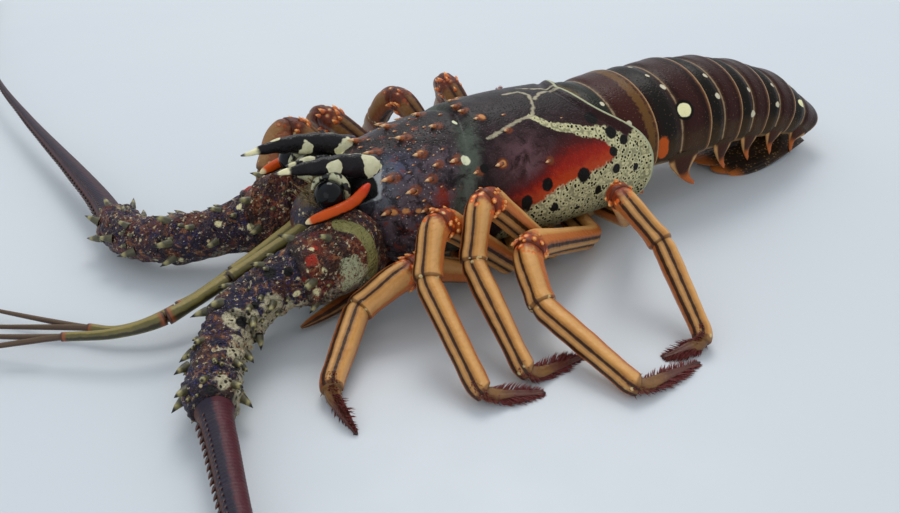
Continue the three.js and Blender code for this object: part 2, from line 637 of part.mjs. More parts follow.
  // Antennule with its two whips.
  const stem = smooth(side < 0 ? ANTENNULE_LEFT : ANTENNULE_RIGHT);
  const stemLength = stem.getLength();
  const stemHalf = (s) => profile(ANTENNULE_HALF, (s * 95) / stemLength);
  let antennule = tube(stem, stemLength, spaced(0, stemLength, 12), stemHalf, stemHalf, 6, upright);
  const fork = stem.getPointAt(1);
  const heading = stem.getTangentAt(1);
  for (const way of [-1, 1]) {
    const outward = new THREE.Vector3(-heading.y, heading.x, 0).multiplyScalar(way * WHIP_SPREAD);
    const back = fork.clone().addScaledVector(heading, -4);
    const half = fork.clone().addScaledVector(heading, 0.45 * WHIP_REACH).addScaledVector(outward, 0.5);
    const tip = fork.clone().addScaledVector(heading, WHIP_REACH).addScaledVector(outward, 1.3);
    half.z = Math.max(half.z, 3);
    tip.z = 4 + way;
    const whip = new THREE.CatmullRomCurve3([back, fork, half, tip], false, "centripetal");
    const reachOut = whip.getLength();
    const thin = (s) => lerp(1.25, 0.3, s / reachOut);
    antennule = antennule.add(tube(whip, reachOut, spaced(0, reachOut, 8), thin, thin, 5, upright));
  }
  add("antennule_" + name, "olive", antennule.subtract(headGrown));

  // Third jaw leg beside the mouth.
  const jaw = smooth(own(MOUTHPART_PATH));
  const jawLength = jaw.getLength();
  const jawHalf = (s) => profile(MOUTHPART_HALF, (s * 62) / jawLength);
  const jawRings = spaced(0, jawLength, 8);
  add("maxilliped_" + name, "leg", tube(jaw, jawLength, jawRings, jawHalf, jawHalf, 8, upright));

  // Walking legs, each in three pieces.
  (side < 0 ? LEFT_LEGS : RIGHT_LEGS).forEach((leg, index) => {
    const joints = [[leg.hip, side * HIP_Y, HIP_Z], ...leg.joints].map(vec);
    const path = new THREE.CurvePath();
    const corners = [];
    let from = joints[0];
    for (let j = 1; j < joints.length - 1; j += 1) {
      const into = joints[j].clone().sub(joints[j - 1]).normalize();
      const out = joints[j + 1].clone().sub(joints[j]).normalize();
      const enter = joints[j].clone().addScaledVector(into, -LEG_BEND[j]);
      const leave = joints[j].clone().addScaledVector(out, LEG_BEND[j]);
      path.add(new THREE.LineCurve3(from, enter));
      const s0 = path.getLength();
      path.add(new THREE.QuadraticBezierCurve3(enter, joints[j], leave));
      path.updateArcLengths();
      corners.push([s0, path.getLength()]);
      from = leave;
    }
    path.add(new THREE.LineCurve3(from, joints[joints.length - 1]));
    path.updateArcLengths();
    const total = path.getLength();
    const places = [0, ...corners.map(([a, b]) => (a + b) / 2), total];
    const half = (sizes) => (s) => leg.thick * profile(places.map((p, i) => [p, sizes[i]]), s);
    const normal = joints[2].clone().sub(joints[0]).cross(joints[4].clone().sub(joints[2])).normalize();
    const walker = { getPointAt: (t) => path.getPoint(t), getTangentAt: (t) => path.getTangent(t) };
    const run = (a, b) => {
      const rings = [a];
      for (const [c0, c1] of corners) {
        for (const s of [c0, lerp(c0, c1, 0.33), lerp(c0, c1, 0.67), c1]) {
          if (s > a + 0.8 && s < b - 0.8) rings.push(s);
        }
      }
      rings.push(b);
      return rings;
    };
    const piece = (a, b, grow) => {
      const across = (s) => half(LEG_ACROSS)(s) + grow;
      const along = (s) => half(LEG_ALONG)(s) + grow;
      return tube(walker, total, run(a, b), across, along, LEG_SIDES, normal);
    };
    const label = "leg_" + name + "_" + (index + 1);
    const upper = piece(0, places[2] - GAP / 2, 0).subtract(sternumGrown).subtract(carapaceGrown);
    const shank = piece(places[2] + GAP / 2, places[4] - GAP / 2, 0).subtract(piece(0, places[2], GAP));
    const foot = (s) => leg.thick * profile(FOOT_HALF, (s - places[4]) / (total - places[4]));
    const dactyl = tube(walker, total, run(places[4] + GAP / 2, total), foot, foot, LEG_SIDES, normal);
    add(label + "_upper", "leg", upper);
    add(label + "_shank", "leg", shank);
    add(label + "_dactyl", "dactyl", dactyl);
  });
}

export default root;
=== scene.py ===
# %% [markdown]
# # A spiny lobster at rest, life size
# This lesson dresses the solid model of a Caribbean spiny lobster with its real surface: shell
# plates, horns, spines, bristles and colours. The solid model comes in as a fixed frame. Every
# piece below takes the place of one of its nodes and keeps to that node's place and size.

import math

import bpy
import numpy as np
from mathutils import Matrix, Vector, noise


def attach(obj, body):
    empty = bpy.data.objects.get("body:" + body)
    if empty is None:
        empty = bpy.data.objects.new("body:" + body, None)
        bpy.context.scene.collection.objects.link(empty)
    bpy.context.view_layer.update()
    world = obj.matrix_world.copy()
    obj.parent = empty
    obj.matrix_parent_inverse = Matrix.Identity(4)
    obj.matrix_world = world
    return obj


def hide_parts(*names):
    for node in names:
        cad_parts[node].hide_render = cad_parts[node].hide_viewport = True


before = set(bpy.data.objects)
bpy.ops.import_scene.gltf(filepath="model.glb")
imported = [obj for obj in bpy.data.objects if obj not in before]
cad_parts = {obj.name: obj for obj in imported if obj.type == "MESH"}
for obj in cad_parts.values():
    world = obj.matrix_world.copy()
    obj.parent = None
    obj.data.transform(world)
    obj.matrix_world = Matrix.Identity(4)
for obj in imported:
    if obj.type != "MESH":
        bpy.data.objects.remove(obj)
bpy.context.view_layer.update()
print("nodes in the frame:", len(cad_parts))

# %% [markdown]
# The animal is easiest to describe in its own axes, in millimetres: the head points along -X,
# its left side faces -Y, and the floor is z = 0. The frame's origin lies under the middle of the
# whole outline, feelers included, so one fixed step leads from one to the other.

# %% The animal's own axes
MM = 0.001
STEP = np.array([113.0, -3.05, 0.0])


def to_frame(points):
    """Millimetres in the animal's axes to metres in the frame."""
    return (np.asarray(points, float) + STEP) * MM


def to_animal(points):
    """Metres in the frame back to millimetres in the animal's axes."""
    return np.asarray(points, float) / MM - STEP


# %% [markdown]
# The camera comes first, because it decides which marks show. The photograph was taken from the
# left front, about a third of a metre above the deck and looking down at 31 degrees, with the
# camera turned a little clockwise. The lens is worked out for a picture 900 points wide.

# %% Camera
PICTURE_WIDE = 900
FOCAL_POINTS = 1026.8
SENSOR_MM = 36.0
CAMERA_AT = (-274.0, -325.7, 218.9)
CAMERA_HEADING = math.radians(28.5)
CAMERA_DOWN = math.radians(31.44)
CAMERA_ROLL = math.radians(1.61)


def aim_camera():
    level = Vector((math.sin(CAMERA_HEADING), math.cos(CAMERA_HEADING), 0.0))
    look = level * math.cos(CAMERA_DOWN) - Vector((0, 0, math.sin(CAMERA_DOWN)))
    right = look.cross(Vector((0, 0, 1))).normalized()
    under = look.cross(right).normalized()
    turned = right * math.cos(CAMERA_ROLL) + under * math.sin(CAMERA_ROLL)
    up = turned.cross(look)
    axes = Matrix((turned, up, -look)).transposed().to_4x4()
    axes.translation = Vector(to_frame(CAMERA_AT))
    bpy.ops.object.camera_add()
    camera = bpy.context.object
    camera.name = "camera"
    camera.matrix_world = axes
    camera.data.sensor_width = SENSOR_MM
    camera.data.lens = SENSOR_MM * FOCAL_POINTS / PICTURE_WIDE
    camera.data.clip_start = 0.01
    bpy.context.scene.camera = camera
    print("lens", round(camera.data.lens, 2), "mm")


aim_camera()

# %% [markdown]
# Light is soft, as on an overcast deck: a large pale lamp behind the animal on the right, a
# weaker one in front on the left, and a grey-white sky all round. The floor is plain and pale.

# %% Floor and light
SKY = (0.86, 0.90, 0.95, 1.0)
SKY_STRENGTH = 0.86
FLOOR_SIZE = 6.0


def area_lamp(name, at, aim, size, power, colour):
    bpy.ops.object.light_add(type="AREA", location=at)
    lamp = bpy.context.object
    lamp.name = name
    lamp.rotation_euler = (Vector(aim) - Vector(at)).to_track_quat("-Z", "Y").to_euler()
    lamp.data.size = size
    lamp.data.energy = power
    lamp.data.color = colour


area_lamp("lamp_high", (0.55, 0.9, 1.5), (0.0, 0.0, 0.0), 0.8, 11.5, (1.0, 0.985, 0.96))
area_lamp("lamp_front", (-1.3, -1.2, 0.9), (0.0, 0.0, 0.03), 1.4, 4.0, (0.95, 0.97, 1.0))

world = bpy.data.worlds.new("soft_sky")
bpy.context.scene.world = world
world.use_nodes = True
world.node_tree.nodes["Background"].inputs["Color"].default_value = SKY
world.node_tree.nodes["Background"].inputs["Strength"].default_value = SKY_STRENGTH
bpy.context.scene.view_settings.view_transform = "Standard"

bpy.ops.mesh.primitive_plane_add(size=FLOOR_SIZE, location=(0, 0, 0))
floor = bpy.context.object
floor.name = "floor"

# %% [markdown]
# Every finish is a small web of shader nodes. Writing it as sums needs a class that wraps one
# socket and makes a Math node for each operator. Any other node comes from the method "node" of
# the class Finish, which also holds the material and its Principled shader.

# %% Shader sums
class Wire:
    """One output of a shader node, on which + - * / make Math nodes."""

    def __init__(self, finish, socket):
        self.finish = finish
        self.socket = socket

    def sum_with(self, operation, a, b):
        return self.finish.node("ShaderNodeMath", {0: a, 1: b}, operation=operation)

    def __add__(self, other):
        return self.sum_with("ADD", self, other)

    def __sub__(self, other):
        return self.sum_with("SUBTRACT", self, other)

    def __mul__(self, other):
        return self.sum_with("MULTIPLY", self, other)

    def __truediv__(self, other):
        return self.sum_with("DIVIDE", self, other)

    def __rsub__(self, other):
        return self.sum_with("SUBTRACT", other, self)

    __radd__ = __add__
    __rmul__ = __mul__


def linear(code):
    """A colour written as six hex digits, in the shader's linear light."""
    parts = [int(code[i : i + 2], 16) / 255 for i in (0, 2, 4)]
    flat = [c / 12.92 if c <= 0.04045 else ((c + 0.055) / 1.055) ** 2.4 for c in parts]
    return (*flat, 1.0)


class Finish:
    """A material: its nodes are added by the methods, and the shader's own sockets by wear()."""

    def __init__(self, name, **steady):
        self.material = bpy.data.materials.new(name)
        self.material.use_nodes = True
        self.tree = self.material.node_tree
        self.shader = self.tree.nodes["Principled BSDF"]
        for socket, value in steady.items():
            self.shader.inputs[socket.replace("_", " ")].default_value = value

    def node(self, kind, feeds=None, out=0, **settings):
        made = self.tree.nodes.new(kind)
        for key, value in settings.items():
            setattr(made, key, value)
        for key, value in (feeds or {}).items():
            if isinstance(value, Wire):
                self.tree.links.new(value.socket, made.inputs[key])
            else:
                made.inputs[key].default_value = value
        return Wire(self, made.outputs[out])

    def place(self):
        return self.node("ShaderNodeTexCoord", out="Object")

    def mark(self, name):
        return self.node("ShaderNodeAttribute", out="Fac", attribute_name=name)

    def wrap(self):
        """The piece's own wrap: x runs round it from 0 to 1, y along it from 0 to 1."""
        uv = self.node("ShaderNodeUVMap", uv_map="UVMap")
        split = self.node("ShaderNodeSeparateXYZ", {0: uv}, out="X")
        return split, Wire(self, split.socket.node.outputs["Y"])

    def cloud(self, scale, detail=3.0, rough=0.55, at=None, warp=0.0):
        feeds = {"Vector": at or self.place(), "Scale": scale, "Detail": detail, "Roughness": rough}
        return self.node("ShaderNodeTexNoise", {**feeds, "Distortion": warp}, out="Fac")

    def cells(self, scale, at=None, jitter=1.0):
        feeds = {"Vector": at or self.place(), "Scale": scale, "Randomness": jitter}
        return self.node("ShaderNodeTexVoronoi", feeds, out="Distance")

    def ramp(self, value, low, high):
        """0 below low, 1 above high, smooth between."""
        feeds = {0: value, 1: low, 2: high}
        return self.node("ShaderNodeMapRange", feeds, interpolation_type="SMOOTHSTEP")

    def blend(self, mask, under, over):
        kind = {"data_type": "RGBA", "clamp_factor": True}
        return self.node("ShaderNodeMix", {0: mask, 6: under, 7: over}, out=2, **kind)

    def dye(self, base, *coats):
        """Coats of colour laid over a base, each a pair of a mask and a colour."""
        for mask, colour in coats:
            base = self.blend(mask, base, linear(colour) if isinstance(colour, str) else colour)
        return base

    def wear(self, colour=None, roughness=None, height=None, depth=0.0005):
        if colour is not None:
            self.tree.links.new(colour.socket, self.shader.inputs["Base Color"])
        if roughness is not None:
            self.tree.links.new(roughness.socket, self.shader.inputs["Roughness"])
        if height is not None:
            bump = self.node("ShaderNodeBump", {"Height": height, "Distance": depth})
            self.tree.links.new(bump.socket, self.shader.inputs["Normal"])
        return self.material


# %% [markdown]
# The deck under the animal is a plain pale gel coat. A little unevenness in its gloss keeps the
# shadow from looking cut out of paper.

# %% Floor finish
deck = Finish("deck", Roughness=0.5)
deck_tone = deck.blend(deck.cloud(3.0), linear("c3cbd2"), linear("d0d5d8"))
floor.data.materials.append(deck.wear(deck_tone, deck.ramp(deck.cloud(30.0), 0.0, 1.0) * 0.15 + 0.4))

# %% [markdown]
# Many sizes of an animal change smoothly along it. `eased` reads such a size off a short list
# of [place, value] pairs, and `Path` is a smooth line through a few points that knows its own
# length, as a bent wire does.

# %% Smooth sizes and paths
def eased(pairs, at):
    table = np.array(pairs, float)
    x, y = table[:, 0], table[:, 1]
    at = np.clip(np.asarray(at, float), x[0], x[-1])
    last = len(x) - 1
    i = np.clip(np.searchsorted(x, at) - 1, 0, last - 1)
    before, after = np.maximum(np.arange(last + 1) - 1, 0), np.minimum(np.arange(last + 1) + 1, last)
    slope = (y[after] - y[before]) / (x[after] - x[before])
    wide = x[i + 1] - x[i]
    t = (at - x[i]) / wide
    ease = t * t * (3 - 2 * t)
    bend = t * (1 - t) * ((1 - t) * slope[i] - t * slope[i + 1])
    return y[i] + (y[i + 1] - y[i]) * ease + wide * bend


def hill(distance, width):
    """1 where the distance is nought, falling away over about the width."""
    return np.exp(-((np.asarray(distance) / width) ** 2))


class Path:
    """A line given by many points, with places and directions by distance from its start."""

    FINE = 60

    def __init__(self, points, upright=(0, 0, 1)):
        self.points = np.asarray(points, float)
        step = np.linalg.norm(np.diff(self.points, axis=0), axis=1)
        self.reach = np.concatenate([[0], np.cumsum(step)])
        self.length = self.reach[-1]
        self.upright = np.asarray(upright, float)

    @classmethod
    def through(cls, corners, **more):
        """A centripetal Catmull-Rom line through the corners."""
        p = np.array(corners, float)
        p = np.vstack([2 * p[0] - p[1], p, 2 * p[-1] - p[-2]])
        out = []
        for k in range(1, len(p) - 2):
            gap = [max(np.linalg.norm(p[k + j] - p[k + j - 1]) ** 0.5, 1e-4) for j in (0, 1, 2)]
            a = (p[k] - p[k - 1]) / gap[0] - (p[k + 1] - p[k - 1]) / (gap[0] + gap[1])
            a = (a + (p[k + 1] - p[k]) / gap[1]) * gap[1]
            b = (p[k + 1] - p[k]) / gap[1] - (p[k + 2] - p[k]) / (gap[1] + gap[2])
            b = (b + (p[k + 2] - p[k + 1]) / gap[2]) * gap[1]
            t = np.linspace(0, 1, cls.FINE, endpoint=False)[:, None]
            cube, square = t**3, t**2
            out.append((2 * cube - 3 * square + 1) * p[k] + (cube - 2 * square + t) * a
                       + (3 * square - 2 * cube) * p[k + 1] + (cube - square) * b)
        return cls(np.vstack([*out, p[-2:-1]]), **more)

    def at(self, s):
        return np.stack([np.interp(s, self.reach, self.points[:, k]) for k in range(3)], -1)

    def frame(self, s):
        """Direction along, a direction across that stays as upright as it can, and the third."""
        ahead = self.at(np.minimum(s + 0.6, self.length)) - self.at(np.maximum(s - 0.6, 0))
        ahead /= np.linalg.norm(ahead, axis=-1, keepdims=True)
        across = self.upright - ahead * (ahead @ self.upright)[..., None]
        across /= np.linalg.norm(across, axis=-1, keepdims=True)
        return ahead, across, np.cross(ahead, across)


# %% [markdown]
# A shell plate is a sheet rolled round a form. Blender's grid is the right start: it already has
# a wrap map. Each of its points is then moved to its place on the form, as in sculpting, the
# edges that meet are merged, and the normals are turned outwards.

# %% Rolled sheets
def alone():
    if bpy.context.object and bpy.context.object.mode != "OBJECT":
        bpy.ops.object.mode_set(mode="OBJECT")
    bpy.ops.object.select_all(action="DESELECT")


def read_points(piece):
    flat = np.empty(len(piece.data.vertices) * 3)
    piece.data.vertices.foreach_get("co", flat)
    return flat.reshape(-1, 3)


def write_points(piece, points):
    piece.data.vertices.foreach_set("co", np.asarray(points, float).ravel())
    piece.data.update()


def keep_mark(piece, name, values):
    made = piece.data.attributes.new(name, "FLOAT", "POINT")
    made.data.foreach_set("value", np.asarray(values, float).ravel())


def read_mark(piece, name):
    values = np.empty(len(piece.data.vertices))
    piece.data.attributes[name].data.foreach_get("value", values)
    return values


def rolled(name, round_cuts, long_cuts, place):
    """A grid whose point (u, v), each from 0 to 1, goes to place(u, v) in millimetres."""
    alone()
    bpy.ops.mesh.primitive_grid_add(x_subdivisions=round_cuts, y_subdivisions=long_cuts, size=1)
    piece = bpy.context.object
    piece.name = name
    piece.data.name = name
    flat = read_points(piece)
    u, v = flat[:, 0] + 0.5, flat[:, 1] + 0.5
    keep_mark(piece, "round", u)
    keep_mark(piece, "long", v)
    write_points(piece, to_frame(place(u, v)))
    bpy.ops.object.mode_set(mode="EDIT")
    bpy.ops.mesh.select_all(action="SELECT")
    bpy.ops.mesh.remove_doubles(threshold=2e-6)
    bpy.ops.mesh.normals_make_consistent(inside=False)
    bpy.ops.object.mode_set(mode="OBJECT")
    bpy.ops.object.shade_smooth()
    return piece


def hand_in(piece, finish, slot, *nodes):
    """The piece gets its material, rides with the animal and stands for the named nodes."""
    piece.data.materials.clear()
    piece.data.materials.append(finish)
    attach(piece, "root")
    if nodes:
        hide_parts(*nodes)
    return piece

# %% [markdown]
# ## Carapace
# The carapace is one stiff shell over head and chest. Its section is widest low down and narrow
# below, and its front and rear edges slope. The same sizes as in the solid model give the form;
# the sheet here is fine enough for the neck groove, the raised rear rim and a low hummock under
# each spine.

# %% Carapace sizes
CARAPACE_FRONT = [[0, -147], [35, -144], [62, -139], [85, -141], [115, -137], [180, -128]]
CARAPACE_GROOVE = [[0, -93], [50, -101], [100, -112], [180, -112]]
CARAPACE_REAR = [[0, -45], [30, -38], [60, -22], [85, -17], [120, -22], [180, -34]]
CARAPACE_HALF = [[-148, 15], [-140, 22], [-125, 28], [-95, 32], [-60, 34], [-35, 33], [-15, 30.5]]
CARAPACE_TOP = [[-148, 46], [-140, 50], [-120, 55], [-100, 57.5], [-75, 59], [-45, 57], [-15, 55]]
CARAPACE_MID = [[-148, 30], [-120, 26], [-60, 25], [-15, 26]]
CARAPACE_UNDER = 9.0
# Spines of one side: x, degrees round from the top, length, half thickness.
CARAPACE_SPINES = [
    [-131, 14, 6, 1.9], [-118, 12, 5.5, 1.8], [-104.5, 12, 4.5, 1.6], [-90.5, 5, 3.2, 1.4],
    [-87.5, 18, 3.6, 1.5], [-130, 44, 6.5, 2], [-116.5, 32, 4.5, 1.7], [-112, 44, 3.5, 1.4],
    [-104.5, 45, 4.5, 1.8], [-124, 58, 5, 1.8], [-116.5, 53, 4, 1.6], [-98, 57, 3.2, 1.4],
    [-88, 56, 4.2, 1.6], [-134.5, 72, 4.5, 1.7], [-121, 74, 3.5, 1.4], [-80, 34, 2.6, 1.3],
    [-68, 62, 2.6, 1.3],
]


def carapace_section(x, turn, grow=0.0):
    """Points of the shell at places x, turn radians round from the top."""
    half = eased(CARAPACE_HALF, x) + grow
    mid = eased(CARAPACE_MID, x)
    top = eased(CARAPACE_TOP, x) + grow
    sin, cos = np.sin(turn), np.cos(turn)
    steep = np.abs(cos)
    y = np.where(cos >= 0, half * sin, half * np.sign(sin) * np.abs(sin) ** 0.45)
    drop = (mid - CARAPACE_UNDER + grow) * steep**0.7
    return np.stack([x, y, np.where(cos >= 0, mid + (top - mid) * steep**0.9, mid - drop)], -1)


def carapace_normal(x, turn):
    at = carapace_section(x, turn)
    on = carapace_section(x + 1.0, turn) - at
    side = carapace_section(x, turn + 0.02) - at
    out = np.cross(side, on)
    out /= np.linalg.norm(out, axis=-1, keepdims=True) + 1e-9
    away = at - np.stack([x, 0 * x, 28 + 0 * x], -1)
    return out * np.sign((out * away).sum(-1))[..., None]


# %% Carapace sheet
RIM_WIDE = 2.4
CAP_SHARE = 0.05


def carapace_place(u, v):
    turn = (u * 2 - 1) * math.pi
    degrees = np.abs(np.degrees(turn))
    front, rear = eased(CARAPACE_FRONT, degrees), eased(CARAPACE_REAR, degrees)
    along = np.clip((v - CAP_SHARE) / (1 - 2 * CAP_SHARE), 0, 1)
    x = front + (rear - front) * along
    groove = eased(CARAPACE_GROOVE, degrees)
    upper = np.clip(1.3 - degrees / 130, 0, 1)
    lift = -1.9 * hill(x - groove, 2.4) * upper + 0.5 * hill(x - groove - 6, 4) * upper
    lift += 0.55 * hill(rear - x - 1.0, RIM_WIDE) - 0.7 * hill(rear - x - 5.0, 1.6)
    lift -= 0.8 * hill(x - front, 3.0)
    for at, around, long, half in CARAPACE_SPINES:
        away = np.hypot(x - at, (degrees - around) * 0.55)
        lift += 0.16 * long * hill(away, 1.5 * half)
    out = carapace_section(x, turn) + carapace_normal(x, turn) * lift[:, None]
    centre = np.stack([np.where(v < 0.5, -139.0, -36.0), 0 * v, 28 + 0 * v], -1)
    cap = np.clip(np.maximum(CAP_SHARE - v, v - 1 + CAP_SHARE) / CAP_SHARE, 0, 1)[:, None]
    return out + (centre - out) * cap**1.5


carapace = rolled("carapace_shell", 220, 260, carapace_place)

# %% [markdown]
# The colours of this animal follow fields on the shell: a cream zone low at the back with dark
# net marks, a red patch above it, dark saddles on top with pale lines between, and a grey-green
# neck groove. Each field is kept as a mark on the sheet's points: how deep inside the zone, or
# how far from the line, a point lies. The shader turns marks into colour with ragged edges.

# %% Carapace marks
CREAM_EDGE = [
    [-95, 118], [-88, 93], [-81, 89.5], [-74.5, 86], [-70, 82.5], [-60.5, 78.5], [-46, 74.5], [-37, 71],
    [-35, 65], [-29, 60], [-22, 50],
]
RED_LINE = [[-94, 79], [-79, 80], [-66, 76], [-52, 69], [-40, 64.5]]
RED_REACH = [[-94, 5], [-78, 8], [-62, 13], [-50, 11], [-38, 5]]
RED_SHARE = [[-98, 0], [-90, 0.45], [-76, 0.75], [-64, 1], [-30, 1]]
THIN_LINES = [
    [[-70, -3], [-63, -3], [-60.5, 4], [-63.5, 18], [-67, 27]], [[-60.5, 11], [-55, 4], [-49, 2], [-44, 3]],
    [[-67, 27], [-72, 28], [-78.5, 31], [-84, 34], [-90, 36]],
]
BROAD_LINE = [[-68, 27], [-64, 35], [-61, 39], [-54, 42.5], [-48, 48], [-41, 51], [-36, 59], [-34, 66]]
BROAD_HALF = [[-68, 1.3], [-60, 1.9], [-50, 2.5], [-40, 3.2], [-34, 4.2]]
DARK_SPOTS = [
    [-42.5, 38, 3.1], [-36.5, 53, 2.8], [-31.5, 61, 2.2], [-38, 67, 2.1], [-37.5, 80, 2.0], [-54, 77, 3.0],
    [-71, 77, 2.5], [-80.5, 85, 2.6], [-68, 93, 2.0], [-47, 90, 1.6], [-27, 84, 1.5], [-33, 96, 1.3], [-57, 101, 1.4],
    [-96, 56, 1.9],
]
# Painted highlights: pale spots in the groove that stand for glints of spine tips, as x, degrees round and radius.
SPINE_GLINT_SPOTS = [[-101.4, 46, 2.3], [-97, 12, 1.3]]
ORANGE_SPOTS = [
    [-133.5, 73, 1.7], [-129, 73, 1.5], [-124.5, 74, 1.3], [-119.5, 75, 1.3], [-88, 56, 1.5], [-124.5, 59, 1.5],
    [-131, 43, 1.3], [-117, 31, 1.4], [-87, 18, 1.5],
]
LOW_RED = [[-114.5, 68, 4.6]]
ORBIT = [[-145, 16], [-141.5, 31], [-139, 42], [-140, 53]]
ORBIT_BAND = [[-134, 31], [-135.5, 39], [-136.5, 48], [-138, 58]]
ORBIT_PATCH = [[-141, 15], [-137.5, 21], [-133.5, 28]]
HAZE_AT = [-77, 58, 10.0]
BLUE_AT = [-128, 34, 7.0]
ARC = 0.56  # millimetres of shell for one degree round


def line_distance(x, degrees, corners):
    """Millimetres over the shell from each point to a bent line."""
    near = np.full(len(x), 1e3)
    for (x0, d0), (x1, d1) in zip(corners[:-1], corners[1:]):
        run = np.array([x1 - x0, (d1 - d0) * ARC])
        gap = np.stack([x - x0, (degrees - d0) * ARC], -1)
        t = np.clip(gap @ run / (run @ run), 0, 1)
        near = np.minimum(near, np.linalg.norm(gap - t[:, None] * run, axis=-1))
    return near


def spot_distance(x, degrees, spots):
    """Distance to the nearest of some round spots, in radii of that spot."""
    return np.min([np.hypot(x - a, (degrees - b) * ARC) / r for a, b, r in spots], 0)


def mark_carapace(piece):
    x = to_animal(read_points(piece))[:, 0]
    around = (read_mark(piece, "round") * 2 - 1) * 180
    degrees = np.abs(around)
    keep_mark(piece, "cream", np.minimum((degrees - eased(CREAM_EDGE, x)) * ARC, (x + 94) * 0.8))
    red = line_distance(x, degrees, RED_LINE)
    keep_mark(piece, "red", np.clip(1.25 - red / eased(RED_REACH, x), 0, 1.25) * eased(RED_SHARE, x))
    keep_mark(piece, "maroon", hill(red, 17) * eased([[-98, 0], [-84, 0.7], [-30, 1]], x))
    thin = np.min([line_distance(x, -around if k == 0 else degrees, c) for k, c in enumerate(THIN_LINES)], 0)
    keep_mark(piece, "thin", thin)
    keep_mark(piece, "broad", line_distance(x, degrees, BROAD_LINE) / eased(BROAD_HALF, x))
    keep_mark(piece, "rim", eased(CARAPACE_REAR, degrees) - x)
    keep_mark(piece, "groove", x - eased(CARAPACE_GROOVE, degrees))
    keep_mark(piece, "head", -x)
    keep_mark(piece, "spot", spot_distance(x, degrees, DARK_SPOTS))
    keep_mark(piece, "spine_glint", spot_distance(x, degrees, SPINE_GLINT_SPOTS))
    keep_mark(piece, "orange", spot_distance(x, degrees, ORANGE_SPOTS))
    keep_mark(piece, "low_red", spot_distance(x, degrees, LOW_RED))
    roots = [[a, b, h] for a, b, _, h in CARAPACE_SPINES]
    keep_mark(piece, "root", spot_distance(x, degrees, roots))
    keep_mark(piece, "low", degrees)
    keep_mark(piece, "haze", hill(spot_distance(x, degrees, [HAZE_AT]), 1.0))
    keep_mark(piece, "blue", hill(spot_distance(x, degrees, [BLUE_AT]), 1.0))
    keep_mark(piece, "orbit", line_distance(x, degrees, ORBIT))
    keep_mark(piece, "orbit_band", line_distance(x, degrees, ORBIT_BAND))
    keep_mark(piece, "orbit_patch", line_distance(x, degrees, ORBIT_PATCH))


mark_carapace(carapace)

# %% [markdown]
# Shell has a satin gloss and a fine pitted skin. The finish lays the coats in the order they
# cover each other: dark ground with pale specks at the front that are painted wet glints,
# purple haze, red, cream zone with its black net, pale lines, groove, rim, the light spots round
# the spines, and two painted highlights in the groove that stand for glints of spine tips.

# %% Carapace finish
def shell_skin(finish, pit_scale=900.0, grain=0.5):
    """Height of a shell's skin: fine pits over soft lumps."""
    pits = finish.ramp(finish.cells(pit_scale), 0.0, 0.5)
    return pits * grain + finish.cloud(260.0, 4.0) * 0.7


